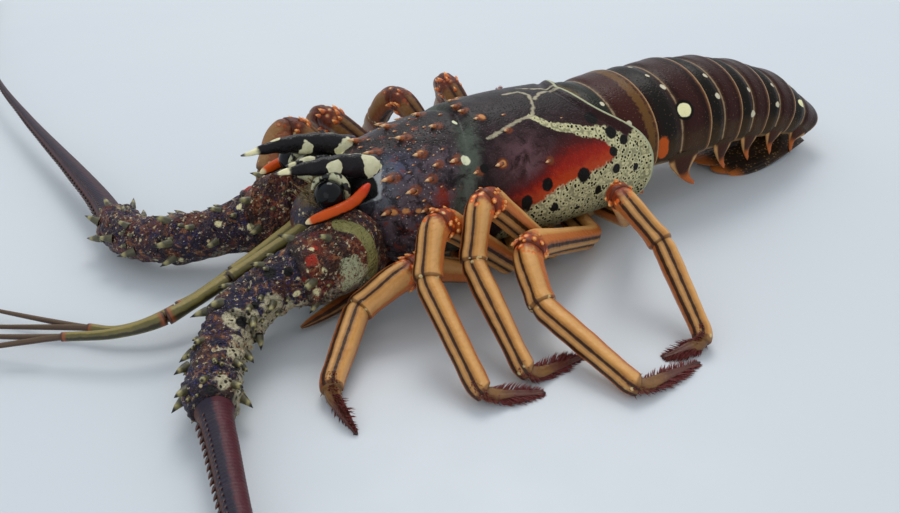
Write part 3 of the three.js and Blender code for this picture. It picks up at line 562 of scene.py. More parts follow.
def carapace_finish():
    f = Finish("carapace_shell_finish", IOR=1.35, Specular_IOR_Level=0.25)
    ragged = f.cloud(420.0, 4.0, 0.6) - 0.5
    broad = f.cloud(110.0, 4.0, 0.6, warp=0.6)
    fine = f.cloud(1100.0, 3.0, 0.6)
    smoke = f.cloud(170.0, 5.0, 0.65, warp=0.8)
    cream, red, rim = f.mark("cream"), f.mark("red"), f.mark("rim")
    front = f.ramp(f.mark("head"), 98.0, 110.0)
    low = f.mark("low") + ragged * 16.0
    ground = f.dye(
        f.blend(broad, linear("100b0c"), linear("23171a")),
        (f.ramp(smoke, 0.46, 0.7) * 0.55, "3e3033"),
        (front * f.ramp(low, 18.0, 46.0) * f.ramp(smoke, 0.32, 0.58) * 0.85, "5f5259"),
        (f.mark("blue") * f.ramp(smoke, 0.3, 0.55) * 0.75, "46506a"),
        (front * f.ramp(f.cloud(230.0, 4.0, 0.6, warp=0.8), 0.56, 0.66) * 0.7, "7a3118"),
        (f.ramp(f.mark("orbit_band") + ragged * 5.0, 9.0, 4.0) * 0.6, "59616a"),
        (f.mark("maroon") * 0.9, "3a1210"),
        (f.mark("haze") * f.ramp(smoke, 0.32, 0.58) * 0.8, "6e4e53"),
        (f.ramp(red + ragged * 0.4, 0.1, 0.8), "5a110b"),
        (f.ramp(red + ragged * 0.5, 0.5, 1.1), "951c0a"),
        (f.ramp(cream + ragged * 7.0, -7.0, 0.0) * f.ramp(red, 0.3, 0.7) * 0.85, "b8441a"),
        (f.ramp(f.mark("low_red") + (smoke - 0.5) * 2.0 + ragged, 1.3, 0.2) * 0.75, "8e2a10"),
        (front * f.ramp(f.cloud(250.0, 5.0, 0.7, warp=0.6), 0.53, 0.6) * 0.75, "171012"),
        (f.ramp(f.cells(1400.0), 0.3, 0.18) * f.ramp(fine, 0.42, 0.6) * 0.2, "8a7676"),
        # Painted highlights: small pale specks on the front of the shell stand for wet glints.
        (front * f.ramp(f.cells(800.0) + ragged * 0.3, 0.24, 0.1) * f.ramp(smoke, 0.4, 0.56) * 0.6, "c2b9b4"),
    )
    dots = f.cells(600.0) + ragged * 0.12
    net = f.ramp(dots, 0.38, 0.28)
    mesh = f.ramp(dots, 0.56, 0.72) * 0.55
    pale = f.dye(
        f.blend(f.cloud(160.0), linear("b9b488"), linear("dcd5a6")),
        (f.ramp(low, 84.0, 118.0) * 0.7, "7c7c58"),
        (f.ramp(fine, 0.46, 0.64) * 0.4, "5b5a42"),
        (mesh, "4a4834"),
        (net, "16140f"),
    )
    groove_at = f.mark("groove") + ragged * 6.0
    groove_on = f.ramp(groove_at, -6.0, -1.0) * f.ramp(groove_at, 7.0, 1.5) * f.ramp(low, 6.0, 24.0)
    root_at = f.mark("root") + ragged * 0.9
    colour = f.dye(
        ground,
        (groove_on * f.ramp(smoke, 0.25, 0.55) * 0.8, "565f54"),
        (f.ramp(root_at, 1.7, 0.9) * f.ramp(fine, 0.25, 0.5) * 0.8, "7a3d1c"),
        (f.ramp(cream + ragged * 5.0, -0.6, 1.2), pale),
        (f.ramp(f.mark("broad") + ragged * 1.3, 1.15, 0.8), pale),
        (f.ramp(f.mark("thin") + ragged * 2.2, 1.0, 0.2) * 0.85, "b1a88c"),
        (f.ramp(f.mark("spot") + ragged * 0.45, 1.1, 0.86), "0f0c0b"),
        (f.ramp(rim + ragged * 0.8, 1.5, 0.8), "aeb08c"),
        (f.ramp(f.mark("orbit_band") + ragged * 1.6, 2.2, 1.2) * 0.9, "a3a7a8"),
        (f.ramp(f.mark("orbit") + ragged * 1.6, 3.6, 2.8), "0a0909"),
        (f.ramp(f.mark("orbit_patch") + ragged * 1.8, 2.3, 1.8), "e0d9a8"),
        (f.ramp(f.mark("orange") + ragged * 1.2, 1.15, 0.6) * 0.9, "c98a50"),
        # Painted highlight: glints of spine tips laid on the shell as pale spots.
        (f.ramp(f.mark("spine_glint") + ragged * 0.6, 1.05, 0.75), "e6e9c4"),
    )
    gloss = 0.3 + f.cloud(300.0) * 0.2
    return f.wear(colour, gloss, shell_skin(f), 0.00025)


hand_in(carapace, carapace_finish(), "carapace_shell", "carapace")

# %% [markdown]
# ## Tubes and thorns
# Legs, feelers and horns are all tubes round a path. `tube` gives the place of each point of a
# rolled sheet: u goes round with its seam underneath, v goes along, and both ends close in a
# blunt dome. `lumps` is a gentle unevenness, since no shell is a turned cylinder.

# %% Tubes
END_ROUND = 0.8


def lumps(points, size, seed=0):
    """A soft random field between about -1 and 1, with features of the given size."""
    draw = np.random.default_rng(seed)
    total = 0.0
    for _ in range(7):
        way = draw.normal(size=3)
        way /= np.linalg.norm(way)
        stretch = draw.uniform(0.7, 1.6)
        total = total + np.sin(points @ way * (2 * math.pi / size * stretch) + draw.uniform(0, 7))
    return total / 3.2


def tube(path, start, end, across, along, lift=None, cap=0.04, flip=1.0, dome=END_ROUND):
    """place(u, v) for a sheet round a path, from one distance along it to another."""

    def place(u, v):
        turn = (u * 2 - 1) * math.pi
        shut = np.clip(np.maximum(cap - v, v - 1 + cap) / cap, 0, 1)
        full = (1 - shut**3) ** (1 / 3)
        inner = np.clip((v - cap) / (1 - 2 * cap), 0, 1)
        s = start + dome + (end - start - 2 * dome) * inner
        s = s + np.where(v < 0.5, -1, 1) * dome * np.sin(shut * math.pi / 2)
        ahead, up, third = path.frame(s)
        tall, wide = across(s, turn) * full, along(s, turn) * full
        rise = (lift(s, turn) if lift else 0.0 * s) * full
        out = up * (np.cos(turn) * (tall + rise))[:, None]
        out = path.at(s) + out + third * (flip * np.sin(turn) * (wide + rise))[:, None]
        out[:, 2] = np.maximum(out[:, 2], 0.0)
        return out

    return place


# %% [markdown]
# Spines and bristles are modelled once each and then copied. A spine is a ring of seven points
# drawn out and narrowed in three steps to a point that hooks forward. A bristle is a bent
# three-sided hair. All copies on one part are joined to one mesh, and each point keeps how near
# the tip it is, because tips are darker or paler than roots.

# %% One thorn and one bristle
def drawn_out(name, sides, steps):
    """A ring extruded upwards: each step is (rise, forward, narrowing)."""
    alone()
    bpy.ops.mesh.primitive_circle_add(vertices=sides, radius=1)
    piece = bpy.context.object
    piece.name = name
    bpy.ops.object.mode_set(mode="EDIT")
    bpy.ops.mesh.select_all(action="SELECT")
    for rise, forward, narrow in steps:
        bpy.ops.mesh.extrude_region_move(TRANSFORM_OT_translate={"value": (forward, 0, rise)})
        bpy.ops.transform.resize(value=(narrow, narrow, 1))
    bpy.ops.mesh.merge(type="CENTER")
    bpy.ops.mesh.select_all(action="SELECT")
    bpy.ops.mesh.normals_make_consistent(inside=False)
    bpy.ops.object.mode_set(mode="OBJECT")
    corners = read_points(piece)
    faces = [tuple(face.vertices) for face in piece.data.polygons]
    bpy.ops.object.delete()
    return corners, faces


FLOOR_GAP = 0.05
THORN = drawn_out("thorn", 7, [(0.3, 0.0, 0.78), (0.35, 0.05, 0.6), (0.35, 0.12, 0.1)])
BRISTLE = drawn_out("bristle", 3, [(0.5, 0.0, 0.7), (0.5, 0.0, 0.2)])


def planted(name, seed, stands, bow=0.18):
    """Copies of a seed on stands (place, direction, forward, length, half thickness)."""
    corners, faces = seed
    at, out, ahead = (np.array([s[k] for s in stands], float) for k in range(3))
    long, half = (np.array([s[k] for s in stands], float)[:, None, None] for k in (3, 4))
    out /= np.linalg.norm(out, axis=1, keepdims=True)
    ahead = ahead - out * (ahead * out).sum(1, keepdims=True)
    ahead /= np.linalg.norm(ahead, axis=1, keepdims=True) + 1e-9
    side = np.cross(out, ahead)
    x, y, z = (corners[None, :, k, None] for k in range(3))
    points = at[:, None] + long * z * out[:, None] + half * (x * ahead[:, None] + y * side[:, None])
    points = points + long * bow * z**2 * ahead[:, None]
    points[..., 2] = np.maximum(points[..., 2], FLOOR_GAP)
    count = len(corners)
    made = bpy.data.meshes.new(name)
    every = [tuple(i + k * count for i in face) for k in range(len(stands)) for face in faces]
    made.from_pydata(to_frame(points.reshape(-1, 3)).tolist(), [], every)
    piece = bpy.data.objects.new(name, made)
    bpy.context.scene.collection.objects.link(piece)
    keep_mark(piece, "tip", np.broadcast_to(z, points.shape[:2] + (1,)).ravel())
    alone()
    bpy.context.view_layer.objects.active = piece
    piece.select_set(True)
    bpy.ops.object.shade_smooth()
    print(name, len(stands), "copies")
    return piece


# %% [markdown]
# ## Carapace spines
# Rows of spines stand on the carapace and lean forward. The larger ones are those of the solid
# model, and the smaller ones between them are placed by a seeded draw, fewer towards the rear.

# %% Carapace spines
SPINE_LEAN = 1.3
SMALL_SPINES = 60
draw = np.random.default_rng(7)


def carapace_stand(x, degrees, side, length, half, lean=SPINE_LEAN):
    x, turn = np.array([float(x)]), np.array([math.radians(degrees) * side])
    at, out = carapace_section(x, turn)[0], carapace_normal(x, turn)[0]
    return at - out * 0.5, out + np.array([-lean, 0, 0]), np.array([-1.0, 0, -0.2]), length, half


stands = [
    carapace_stand(x, degrees, side, length + 0.3, half * 0.85)
    for x, degrees, length, half in CARAPACE_SPINES
    for side in (-1, 1)
]
taken = [(x, degrees * side) for x, degrees, _, _ in CARAPACE_SPINES for side in (-1, 1)]
tries = 0
while len(taken) < SMALL_SPINES + 2 * len(CARAPACE_SPINES) and tries < 6000:
    tries += 1
    x, degrees = draw.uniform(-136, -52), draw.uniform(-92, 92)
    keep = 1.0 if x < -97 else 0.05
    spacing = 3.2 if x < -97 else 4.6
    if draw.uniform() > keep or min(np.hypot(x - a, (degrees - b) * ARC) for a, b in taken) < spacing:
        continue
    if abs(x - float(eased(CARAPACE_GROOVE, abs(degrees)))) < 3.0 or x < -139 + abs(degrees) * 0.02:
        continue
    taken.append((x, degrees))
    length = draw.uniform(0.8, 1.7)
    stands.append(carapace_stand(x, abs(degrees), np.sign(degrees) or 1, length + 0.5, length * 0.45))
carapace_spines = planted("carapace_spines", THORN, stands)


def spine_finish(name, root, middle, tip, pale_from=0.15, tip_from=0.62):
    """A spine's colours from its root to its tip; the last two values are shares of its length."""
    f = Finish(name, IOR=1.5)
    at = f.mark("tip") + (f.cloud(600.0) - 0.5) * 0.25
    colour = f.dye(f.blend(f.cloud(300.0) * 0.4, linear(root), linear(middle)),
                   (f.ramp(at, pale_from, pale_from + 0.25), middle), (f.ramp(at, tip_from, tip_from + 0.16), tip))
    return f.wear(colour, f.cloud(400.0) * 0.2 + 0.28, f.cloud(1500.0), 0.0002)


hand_in(carapace_spines, spine_finish("carapace_spine_finish", "2e1812", "9c5526", "ddb07c", 0.2, 0.55),
        "carapace_shell", "carapace")

# %% [markdown]
# ## Tail
# Six rings of shell slide into each other. Each has a narrower front edge that the ring before
# it covers, a groove across its back, and a rear edge that stands a little proud. At the sides it
# hangs down in a pointed flap, the pleuron, which is a flattened horn bent backwards.

# %% Tail rings
TAIL_JOINTS = [
    [-45, 32, 0, 28.5, 22.5], [-13, 33, 0, 28.5, 22.6], [16, 33, 2, 28, 22.2],
    [34.5, 31.5, 7, 26.5, 20.8], [52, 28.2, 14, 24.5, 18.8], [70, 23, 26, 22.5, 16],
    [91.4, 12.5, 56, 17, 10.5],
]
PLEURON_DROP = [0, 8, 12, 9, 8, 6.5, 4.5]
TAIL_LOWER = 0.6
TAIL_SKIN = [[0, -2.0], [0.12, -0.9], [0.3, 0.25], [0.44, -0.55], [0.5, -0.6], [0.58, 0.15], [0.8, 0.45], [0.93, 0.75], [1, 0.5]]


def tail_frame(joints):
    """Middle, upward, onward and half sizes of the tail at rows of joint values."""
    x, z, tilt, half, tall = np.asarray(joints, float).T
    a = np.radians(tilt)
    nought = 0 * x
    return (np.stack([x, nought, z], -1), np.stack([np.sin(a), nought, np.cos(a)], -1),
            np.stack([np.cos(a), nought, -np.sin(a)], -1), half, tall)


def tail_place(ring):
    joint, after = np.array(TAIL_JOINTS[ring - 1], float), np.array(TAIL_JOINTS[ring], float)

    def place(u, v):
        turn = (u * 2 - 1) * math.pi
        cap = 0.05
        t = np.clip((v - cap) / (1 - 2 * cap), 0, 1)
        middle, up, on, half, tall = tail_frame(joint + (after - joint) * t[:, None])
        upper = np.clip(np.cos(turn) * 1.6 + 0.7, 0, 1)
        skin = eased(TAIL_SKIN, t) * (0.35 + 0.65 * upper)
        sin, cos = np.sin(turn), np.cos(turn)
        half, tall = half + skin, tall + skin
        y = np.where(cos >= 0, half * sin, half * np.sign(sin) * np.abs(sin) ** 0.5)
        rise = np.where(cos >= 0, tall * np.abs(cos) ** 0.92, -tall * TAIL_LOWER * np.abs(cos) ** 0.6)
        out = middle + up * rise[:, None]
        out[:, 1] = y
        shut = np.clip(np.maximum(cap - v, v - 1 + cap) / cap, 0, 1)[:, None]
        core = middle + on * np.where(v < 0.5, 1.5, -1.5)[:, None]
        return out + (core - out) * shut**1.6

    return place


def pleuron_place(ring, side):
    joint, after = np.array(TAIL_JOINTS[ring - 1], float), np.array(TAIL_JOINTS[ring], float)
    long = np.linalg.norm(after[:2] - joint[:2])
    drop = PLEURON_DROP[ring]

    def place(u, v):
        turn = (u * 2 - 1) * math.pi
        middle, up, on, half, tall = tail_frame(np.repeat([(joint + after) / 2], len(u), 0))
        shut = np.sqrt(np.clip(1 - np.clip((v - 0.9) / 0.1, 0, 1) ** 2, 0, 1))
        wide = long * eased([[0, 0.3], [0.25, 0.25], [0.55, 0.13], [0.85, 0.05], [1, 0.02]], v) * shut
        back = long * eased([[0, 0.04], [0.35, 0.05], [0.62, 0.12], [0.85, 0.27], [1, 0.42]], v)
        thick = eased([[0, 0.5], [0.35, 1.2], [0.8, 0.9], [1, 0.5]], v) * shut
        fall = (drop + 7) * v - 6
        out = middle + on * (back + wide * np.cos(turn))[:, None]
        out += up * (-TAIL_LOWER * tall - fall + 1.5 + 0.8 * np.sin(turn * 2) * v)[:, None]
        belly = 1.0 - 3.2 * v**1.5
        out[:, 1] = side * (half - 1.8 + belly + thick * np.sin(turn))
        return out

    return place


def joined(name, *pieces):
    alone()
    for piece in pieces:
        piece.select_set(True)
    bpy.context.view_layer.objects.active = pieces[0]
    bpy.ops.object.join()
    pieces[0].name = name
    return pieces[0]


# %% [markdown]
# The back of the tail is dark brown with a greenish and a maroon band on every ring, a pale line
# in the groove and another along the rear edge. Rings two and six carry a pair of large cream
# spots with black rims, and small pale spots lie scattered on all of them.

# %% Tail marks
EYE_SPOTS = {2: [[0.55, 60, 3.4]], 6: [[0.3, 54, 3.0]]}
SMALL_SPOTS = {
    1: [[0.4, 30, 1.2], [0.6, 58, 1.4], [0.5, 84, 1.2]], 2: [[0.35, 12, 1.1], [0.42, 30, 1.5]],
    3: [[0.34, 28, 1.3], [0.34, 54, 1.6]], 4: [[0.4, 50, 1.4], [0.42, 80, 1.9]],
    5: [[0.34, 40, 1.4], [0.34, 68, 1.8]], 6: [[0.3, 20, 1.0]],
}


def mark_ring(piece, ring):
    joint, after = TAIL_JOINTS[ring - 1], TAIL_JOINTS[ring]
    long = math.hypot(after[0] - joint[0], after[1] - joint[1])
    v = read_mark(piece, "long")
    t = np.clip((v - 0.05) / 0.9, 0, 1)
    degrees = np.abs(read_mark(piece, "round") * 2 - 1) * 180
    keep_mark(piece, "step", t)
    keep_mark(piece, "rim", (1 - t) * long)
    keep_mark(piece, "fold", np.abs(t - 0.47) * long)
    keep_mark(piece, "low", degrees)
    keep_mark(piece, "flap", 0 * t)
    keep_mark(piece, "hinge", np.hypot((t - 0.12) * long / 2.6, (degrees - 94) * 0.42 / 5.5) if ring == 2 else 9 + 0 * t)
    keep_mark(piece, "flap_edge", 0 * t)

    def nearest(spots):
        if not spots:
            return 9 + 0 * t
        return np.min([np.hypot((t - a) * long, (degrees - b) * 0.42) / c for a, b, c in spots], 0)

    keep_mark(piece, "ocellus", nearest(EYE_SPOTS.get(ring)))
    keep_mark(piece, "spot", nearest(SMALL_SPOTS.get(ring)))


def mark_flap(piece):
    v = read_mark(piece, "long")
    turn = (read_mark(piece, "round") * 2 - 1) * math.pi
    for name, value in (("step", 0.5), ("rim", 9), ("fold", 9), ("low", 96), ("ocellus", 9), ("spot", 9), ("hinge", 9)):
        keep_mark(piece, name, value + 0 * v)
    keep_mark(piece, "flap", v)
    keep_mark(piece, "flap_edge", np.abs(np.cos(turn)))


def tail_finish(name, bands):
    """Shell of the tail: bands are the share along the ring, half width and colour of each band."""
    f = Finish(name, IOR=1.33, Specular_IOR_Level=0.2)
    ragged = f.cloud(430.0, 4.0, 0.6) - 0.5
    fine = f.cloud(1300.0, 3.0, 0.6)
    step = f.mark("step") + ragged * 0.12
    flap = f.mark("flap") + ragged * 0.2
    striped = [(f.ramp(step, a - w, a - w * 0.5) * f.ramp(step, a + w, a + w * 0.5) * 0.85, c) for a, w, c in bands]
    colour = f.dye(
        f.blend(f.cloud(150.0, 5.0, 0.65, warp=0.6), linear("130a08"), linear("2c140e")),
        *striped,
        (f.ramp(f.cells(700.0) + ragged * 0.2, 0.18, 0.1) * 0.4, "7d6848"),
        (f.ramp(f.mark("low") + ragged * 20.0, 76.0, 94.0) * 0.5, "4a3820"),
        (f.ramp(f.mark("low"), 112.0, 124.0) * 0.8, "8f6f4a"),
        (f.ramp(f.mark("fold") + ragged * 1.2, 1.6, 0.4) * 0.35, "6b4a34"),
        (f.ramp(f.mark("fold") + ragged * 1.0, 0.6, 0.2) * 0.7, "a08a6a"),
        (f.ramp(f.mark("rim") + ragged * 1.2, 2.2, 0.8) * 0.5, "7a4a2c"),
        (f.ramp(f.mark("rim") + ragged * 0.8, 0.9, 0.4) * 0.8, "b08a5c"),
        (f.ramp(f.mark("spot") + ragged * 0.5, 1.1, 0.8) * 0.9, "d9d0b4"),
        (f.ramp(f.mark("ocellus") + ragged * 0.2, 1.4, 1.2), "0b0808"),
        (f.ramp(f.mark("ocellus") + ragged * 0.2, 0.98, 0.84), "efe9b4"),
        (f.ramp(flap, 0.05, 0.2) * 0.9, "3c1c12"),
        (f.ramp(flap, 0.1, 0.25) * f.ramp(f.mark("flap_edge"), 0.55, 0.8), "b98c58"),
        (f.ramp(flap, 0.5, 0.75), "b5602a"),
        (f.ramp(f.mark("hinge") + ragged * 0.5, 1.1, 0.8), "b8521c"),
    )
    return f.wear(colour, f.cloud(300.0) * 0.14 + 0.28, shell_skin(f, 800.0) + fine * 0.3, 0.0002)


# Bands of one ring: share of its length, half width as a share, colour.
FIRST_BANDS = [(0.14, 0.1, "5a4a24"), (0.36, 0.16, "191f17"), (0.66, 0.22, "3d1a14"), (0.88, 0.08, "6b4a24")]
OTHER_BANDS = [(0.22, 0.16, "171512"), (0.7, 0.2, "331613")]
tail_coats = {
    ring: tail_finish(f"tail_shell_finish_{ring}", FIRST_BANDS if ring == 1 else OTHER_BANDS) for ring in (1, 2)
}
for ring in range(1, 7):
    shell = rolled(f"tail_ring_{ring}_shell", 150, 60, tail_place(ring))
    mark_ring(shell, ring)
    flaps = [rolled("flap", 26, 22, pleuron_place(ring, side)) for side in (-1, 1)]
    for flap in flaps:
        mark_flap(flap)
    hand_in(joined(f"tail_ring_{ring}_shell", shell, *flaps), tail_coats[min(ring, 2)], "tail_shell",
            f"tail_ring_{ring}")

# %% [markdown]
# ## Tail fan
# The fan is folded forward under the tail. Each blade is thin, stiff near its root and leathery
# beyond, with fine ribs along it, an orange edge and a short fringe of hair.

# %% Fan blades
def fan_blade(name, long, narrow, wide, thick, start, end, lean):
    start, end = np.array(start, float), np.array(end, float)
    path = Path(start + (end - start) * np.linspace(0, 1, 40)[:, None])
    side = np.array([0.0, math.cos(lean), math.sin(lean)])

    def place(u, v):
        turn = (u * 2 - 1) * math.pi
        edge = narrow + (wide - narrow) * np.sin(np.minimum(v * 1.9, math.pi / 2))
        edge = edge * np.sqrt(np.clip(1 - v**5, 0, 1))
        ribs = 0.12 * np.sin(np.sin(turn) * 26) * np.clip(v * 4 - 0.8, 0, 1)
        rise = (thick / 2 + ribs) * np.cos(turn) * np.sqrt(np.clip(1 - v**12, 0, 1)) * np.clip(v * 14, 0.25, 1)
        s = v * long
        ahead, up, _ = path.frame(np.minimum(s, path.length))
        out = start + (end - start) / np.linalg.norm(end - start) * s[:, None]
        sag = -0.02 * (edge * np.sin(turn)) ** 2
        return out + side * (edge * np.sin(turn))[:, None] + np.array([0, 0, 1.0]) * (rise + sag + thick / 2)[:, None]

    return rolled(name, 90, 60, place)


def fan_finish():
    f = Finish("tail_fan_finish", IOR=1.48)
    around, long = f.wrap()
    ragged = f.cloud(380.0, 4.0, 0.6) - 0.5
    edge = f.ramp(long + ragged * 0.08, 0.82, 0.97)
    colour = f.dye(
        f.blend(f.cloud(200.0, 4.0, 0.65), linear("1c110b"), linear("3e2612")),
        (f.ramp(long + ragged * 0.1, 0.42, 0.6) * 0.7, "1a100c"),
        (f.ramp(f.cells(600.0) + ragged * 0.2, 0.3, 0.22) * 0.5, "b08c55"),
        (edge, "b8682a"),
    )
    return f.wear(colour, f.cloud(260.0) * 0.2 + 0.38, f.cloud(900.0, 3.0), 0.0003)


fan_coat = fan_finish()
hand_in(fan_blade("telson_blade", 60, 9, 12.5, 1.6, [93, 0, 7.2], [36, 0, 2.6], 0.0), fan_coat, "tail_fan", "telson")
for name, side in (("left", -1), ("right", 1)):
    inner = fan_blade("inner", 54, 4, 9, 1.2, [91, side * 8, 4.6], [38, side * 10, 0.7], -side * 0.05)
    outer = fan_blade("outer", 50, 4, 7.5, 1.2, [91, side * 10, 4.9], [45, side * 14.5, 0.4], -side * 0.12)
    hand_in(joined(f"uropod_{name}_blades", inner, outer), fan_coat, "tail_fan", f"uropod_{name}")

# %% [markdown]
# ## Front of the head
# Between the antennae the head ends in a narrow block that carries the small feelers. It is
# rounded at its edges and mottled grey and brown like the shell round it.

# %% Head front
HEAD_STATIONS = [[-146.8, 9.5, 12, 45], [-156, 8.2, 13, 41], [-165, 6.6, 14, 34]]


def head_place(u, v):
    turn = (u * 2 - 1) * math.pi
    rows = np.array(HEAD_STATIONS)[::-1]
    x = -146.0 - 19.0 * v
    wide, low, high = (eased(rows[:, [0, k]], x) for k in (1, 2, 3))
    sin, cos = np.sin(turn), np.cos(turn)
    shut = np.sqrt(np.clip(1 - np.clip((v - 0.72) / 0.28, 0, 1) ** 2, 0, 1))
    shut = np.where(v < 0.02, 0.0, shut)
    y = np.sign(sin) * np.abs(sin) ** 0.7 * wide * shut
    rise = np.sign(cos) * np.abs(cos) ** 0.7 * (high - low) / 2 * shut
    out = np.stack([x, y, (low + high) / 2 + rise], -1)
    return out + lumps(out, 9.0, 3)[:, None] * np.array([0.0, 0.3, 0.3]) * shut[:, None]


def head_finish():
    f = Finish("head_shell_finish", IOR=1.45, Specular_IOR_Level=0.3)
    ragged = f.cloud(430.0, 4.0, 0.6) - 0.5
    fine = f.cloud(1100.0, 3.0, 0.6)
    high = f.ramp(f.mark("rise") + ragged * 8.0, 35.0, 39.0)
    colour = f.dye(
        f.blend(f.cloud(210.0, 5.0, 0.65, warp=0.8), linear("1c171d"), linear("4a4656")),
        (f.ramp(f.cloud(150.0, 4.0, 0.6), 0.5, 0.62) * 0.8, "5c3322"),
        (f.ramp(f.cloud(260.0, 4.0, 0.6), 0.58, 0.66) * 0.8, "8d7a58"),
        (f.ramp(f.cells(320.0) + ragged * 0.25, 0.22, 0.14) * 0.9, "c9bb93"),
        (f.ramp(fine, 0.6, 0.7) * 0.4, "2f3f66"),
        (high, f.blend(f.cloud(330.0, 5.0, 0.75), linear("2a2018"), linear("7d6a48"))),
    )
    return f.wear(colour, f.cloud(300.0) * 0.2 + 0.3, shell_skin(f), 0.0006)


head_front = rolled("head_front_shell", 80, 50, head_place)
keep_mark(head_front, "rise", to_animal(read_points(head_front))[:, 2])
hand_in(head_front, head_finish(), "head_shell", "head_front")

# A tuft of stiff yellow-brown bristles stands on the block between the eyes.
HEAD_HAIRS = 110
draw = np.random.default_rng(7)
hairs = []
for _ in range(HEAD_HAIRS):
    lean = np.array([-0.7, draw.normal(0, 0.5), 1.0])
    spot = head_place(np.array([0.5 + draw.normal(0, 0.1)]), np.array([draw.uniform(0.15, 0.75)]))[0]
    hairs.append((spot - lean * 0.3, lean, np.array([-1.0, 0.0, 0.0]), draw.uniform(2.0, 4.6), 0.22))
tuft_coat = spine_finish("tuft_finish", "4a3820", "8d7448", "c9b27c", 0.2, 0.7)
hand_in(planted("head_front_hair", BRISTLE, hairs), tuft_coat, "head_shell", "head_front")

# %% [markdown]
# ## Horns
# A stout horn stands over each eye and reaches forward, with a shorter prong on its inner side.
# Horns are the boldest marked part: black, with pale yellow patches, a cream end and a grey
# point. The patches are set by their distance along the horn and their angle round it.

# %% Horns
HORN_LEFT = [[-134, -10, 47], [-146, -10.5, 51.5], [-159, -10.5, 54.2], [-172.3, -9.3, 55.5]]
HORN_RIGHT = [[-134, 10, 47], [-147, 10.5, 52], [-162, 10.5, 55.5], [-178, 9, 56.5]]
HORN_HALF = [[0, 5.6], [14, 4.7], [26, 3.2], [36, 1.2], [40, 0.2]]
PRONG = [[-140, 4.5, 44], [-151, 4.4, 49], [-163, 4.2, 50.5]]
PRONG_HALF = [[0, 3.4], [14, 2.4], [23, 1.0], [26, 0.2]]
# Patches: share of the length, degrees from the top towards the outer side, radius in mm.
HORN_PATCHES = {
    -1: [[0.2, 75, 3.4], [0.3, 50, 2.6], [0.1, -60, 3.0], [0.45, -85, 2.8], [0.62, 170, 2.2]],
    1: [[0.52, -78, 3.0], [0.43, -55, 2.6], [0.69, -12, 1.6], [0.2, -45, 3.0], [0.12, 70, 3.0], [0.45, 90, 2.6]],
}
PRONG_PATCHES = [[0.62, 60, 2.6], [0.62, -60, 2.6], [0.7, 0, 2.2], [0.2, 0, 2.4]]


def mark_tube(piece, start, end, cap=0.04):
    v = read_mark(piece, "long")
    s = start + (end - start) * np.clip((v - cap) / (1 - 2 * cap), 0, 1)
    keep_mark(piece, "reach", s)
    degrees = (read_mark(piece, "round") * 2 - 1) * 180
    keep_mark(piece, "turn", degrees)
    return s, degrees


def patch_field(share, degrees, patches, long, half):
    return np.min([
        np.hypot((share - a) * long, (((degrees - b + 180) % 360) - 180) * math.pi / 180 * half) / r
        for a, b, r in patches
    ], 0)


def horn_piece(name, corners, halves, patches, flip):
    path = Path.through(corners)
    size = lambda s: eased(halves, s * halves[-1][0] / path.length)
    piece = rolled(name, 48, 90, tube(path, 0, path.length, lambda s, a: np.where(np.cos(a) < 0, 0.72, 1.1) * size(s), lambda s, a: 0.8 * size(s),
                   lambda s, a: 0.14 * np.sin(s * 0.9 + 2 * np.sin(a)), flip=flip, cap=0.02, dome=0.2))
    s, degrees = mark_tube(piece, 0, path.length, cap=0.02)
    keep_mark(piece, "patch", patch_field(s / path.length, degrees, patches, path.length, 3.5))
    keep_mark(piece, "share", s / path.length)
    return piece


def horn_finish():
    f = Finish("horn_finish", IOR=1.45, Specular_IOR_Level=0.25)
    ragged = f.cloud(330.0, 4.0, 0.6) - 0.5
    share = f.mark("share")
    patch = f.ramp(f.mark("patch") + (f.cloud(170.0, 2.0) - 0.5) * 2.6 + ragged * 0.6, 1.05, 0.92)
    colour = f.dye(
        f.blend(f.cloud(260.0, 4.0, 0.6), linear("070607"), linear("1c171b")),
        (f.ramp(share + ragged * 0.1, 0.14, 0.02) * 0.7, "3a3744"),
        (patch, f.blend(f.cloud(500.0), linear("b9b684"), linear("e6e2c4"))),
        (f.ramp(share + ragged * 0.06, 0.84, 0.88), "ece5b8"),
        (f.ramp(share, 0.955, 0.985), "5a5a58"),
    )
    return f.wear(colour, f.cloud(300.0) * 0.16 + 0.2, f.cloud(700.0, 4.0), 0.0004)


horn_coat = horn_finish()
for name, side, corners in (("left", -1, HORN_LEFT), ("right", 1, HORN_RIGHT)):
    main = horn_piece("horn", corners, HORN_HALF, HORN_PATCHES[side], -side)
    small = [[x, side * y, z] for x, y, z in PRONG]
    prong = horn_piece("prong", small, PRONG_HALF, PRONG_PATCHES, -side)
    hand_in(joined(f"horn_{name}_shell", main, prong), horn_coat, "horn", f"horn_{name}")

# %% [markdown]
# ## Eyes
# Each eye is a black glossy globe at the end of a short stalk that is cream with black marks. It
# is one sheet rolled round the line from the head to the globe, with a slight waist.

# %% Eyes
EYE_CENTRE = [-155.5, 17.5, 46]
EYE_ROOT = [-150, 6, 42]
EYE_HALF = [[0, 3.8], [4, 4.1], [6.5, 4.8], [8.8, 5.0], [13, 5.5], [16, 4.7], [18, 2.6], [18.8, 0.3]]


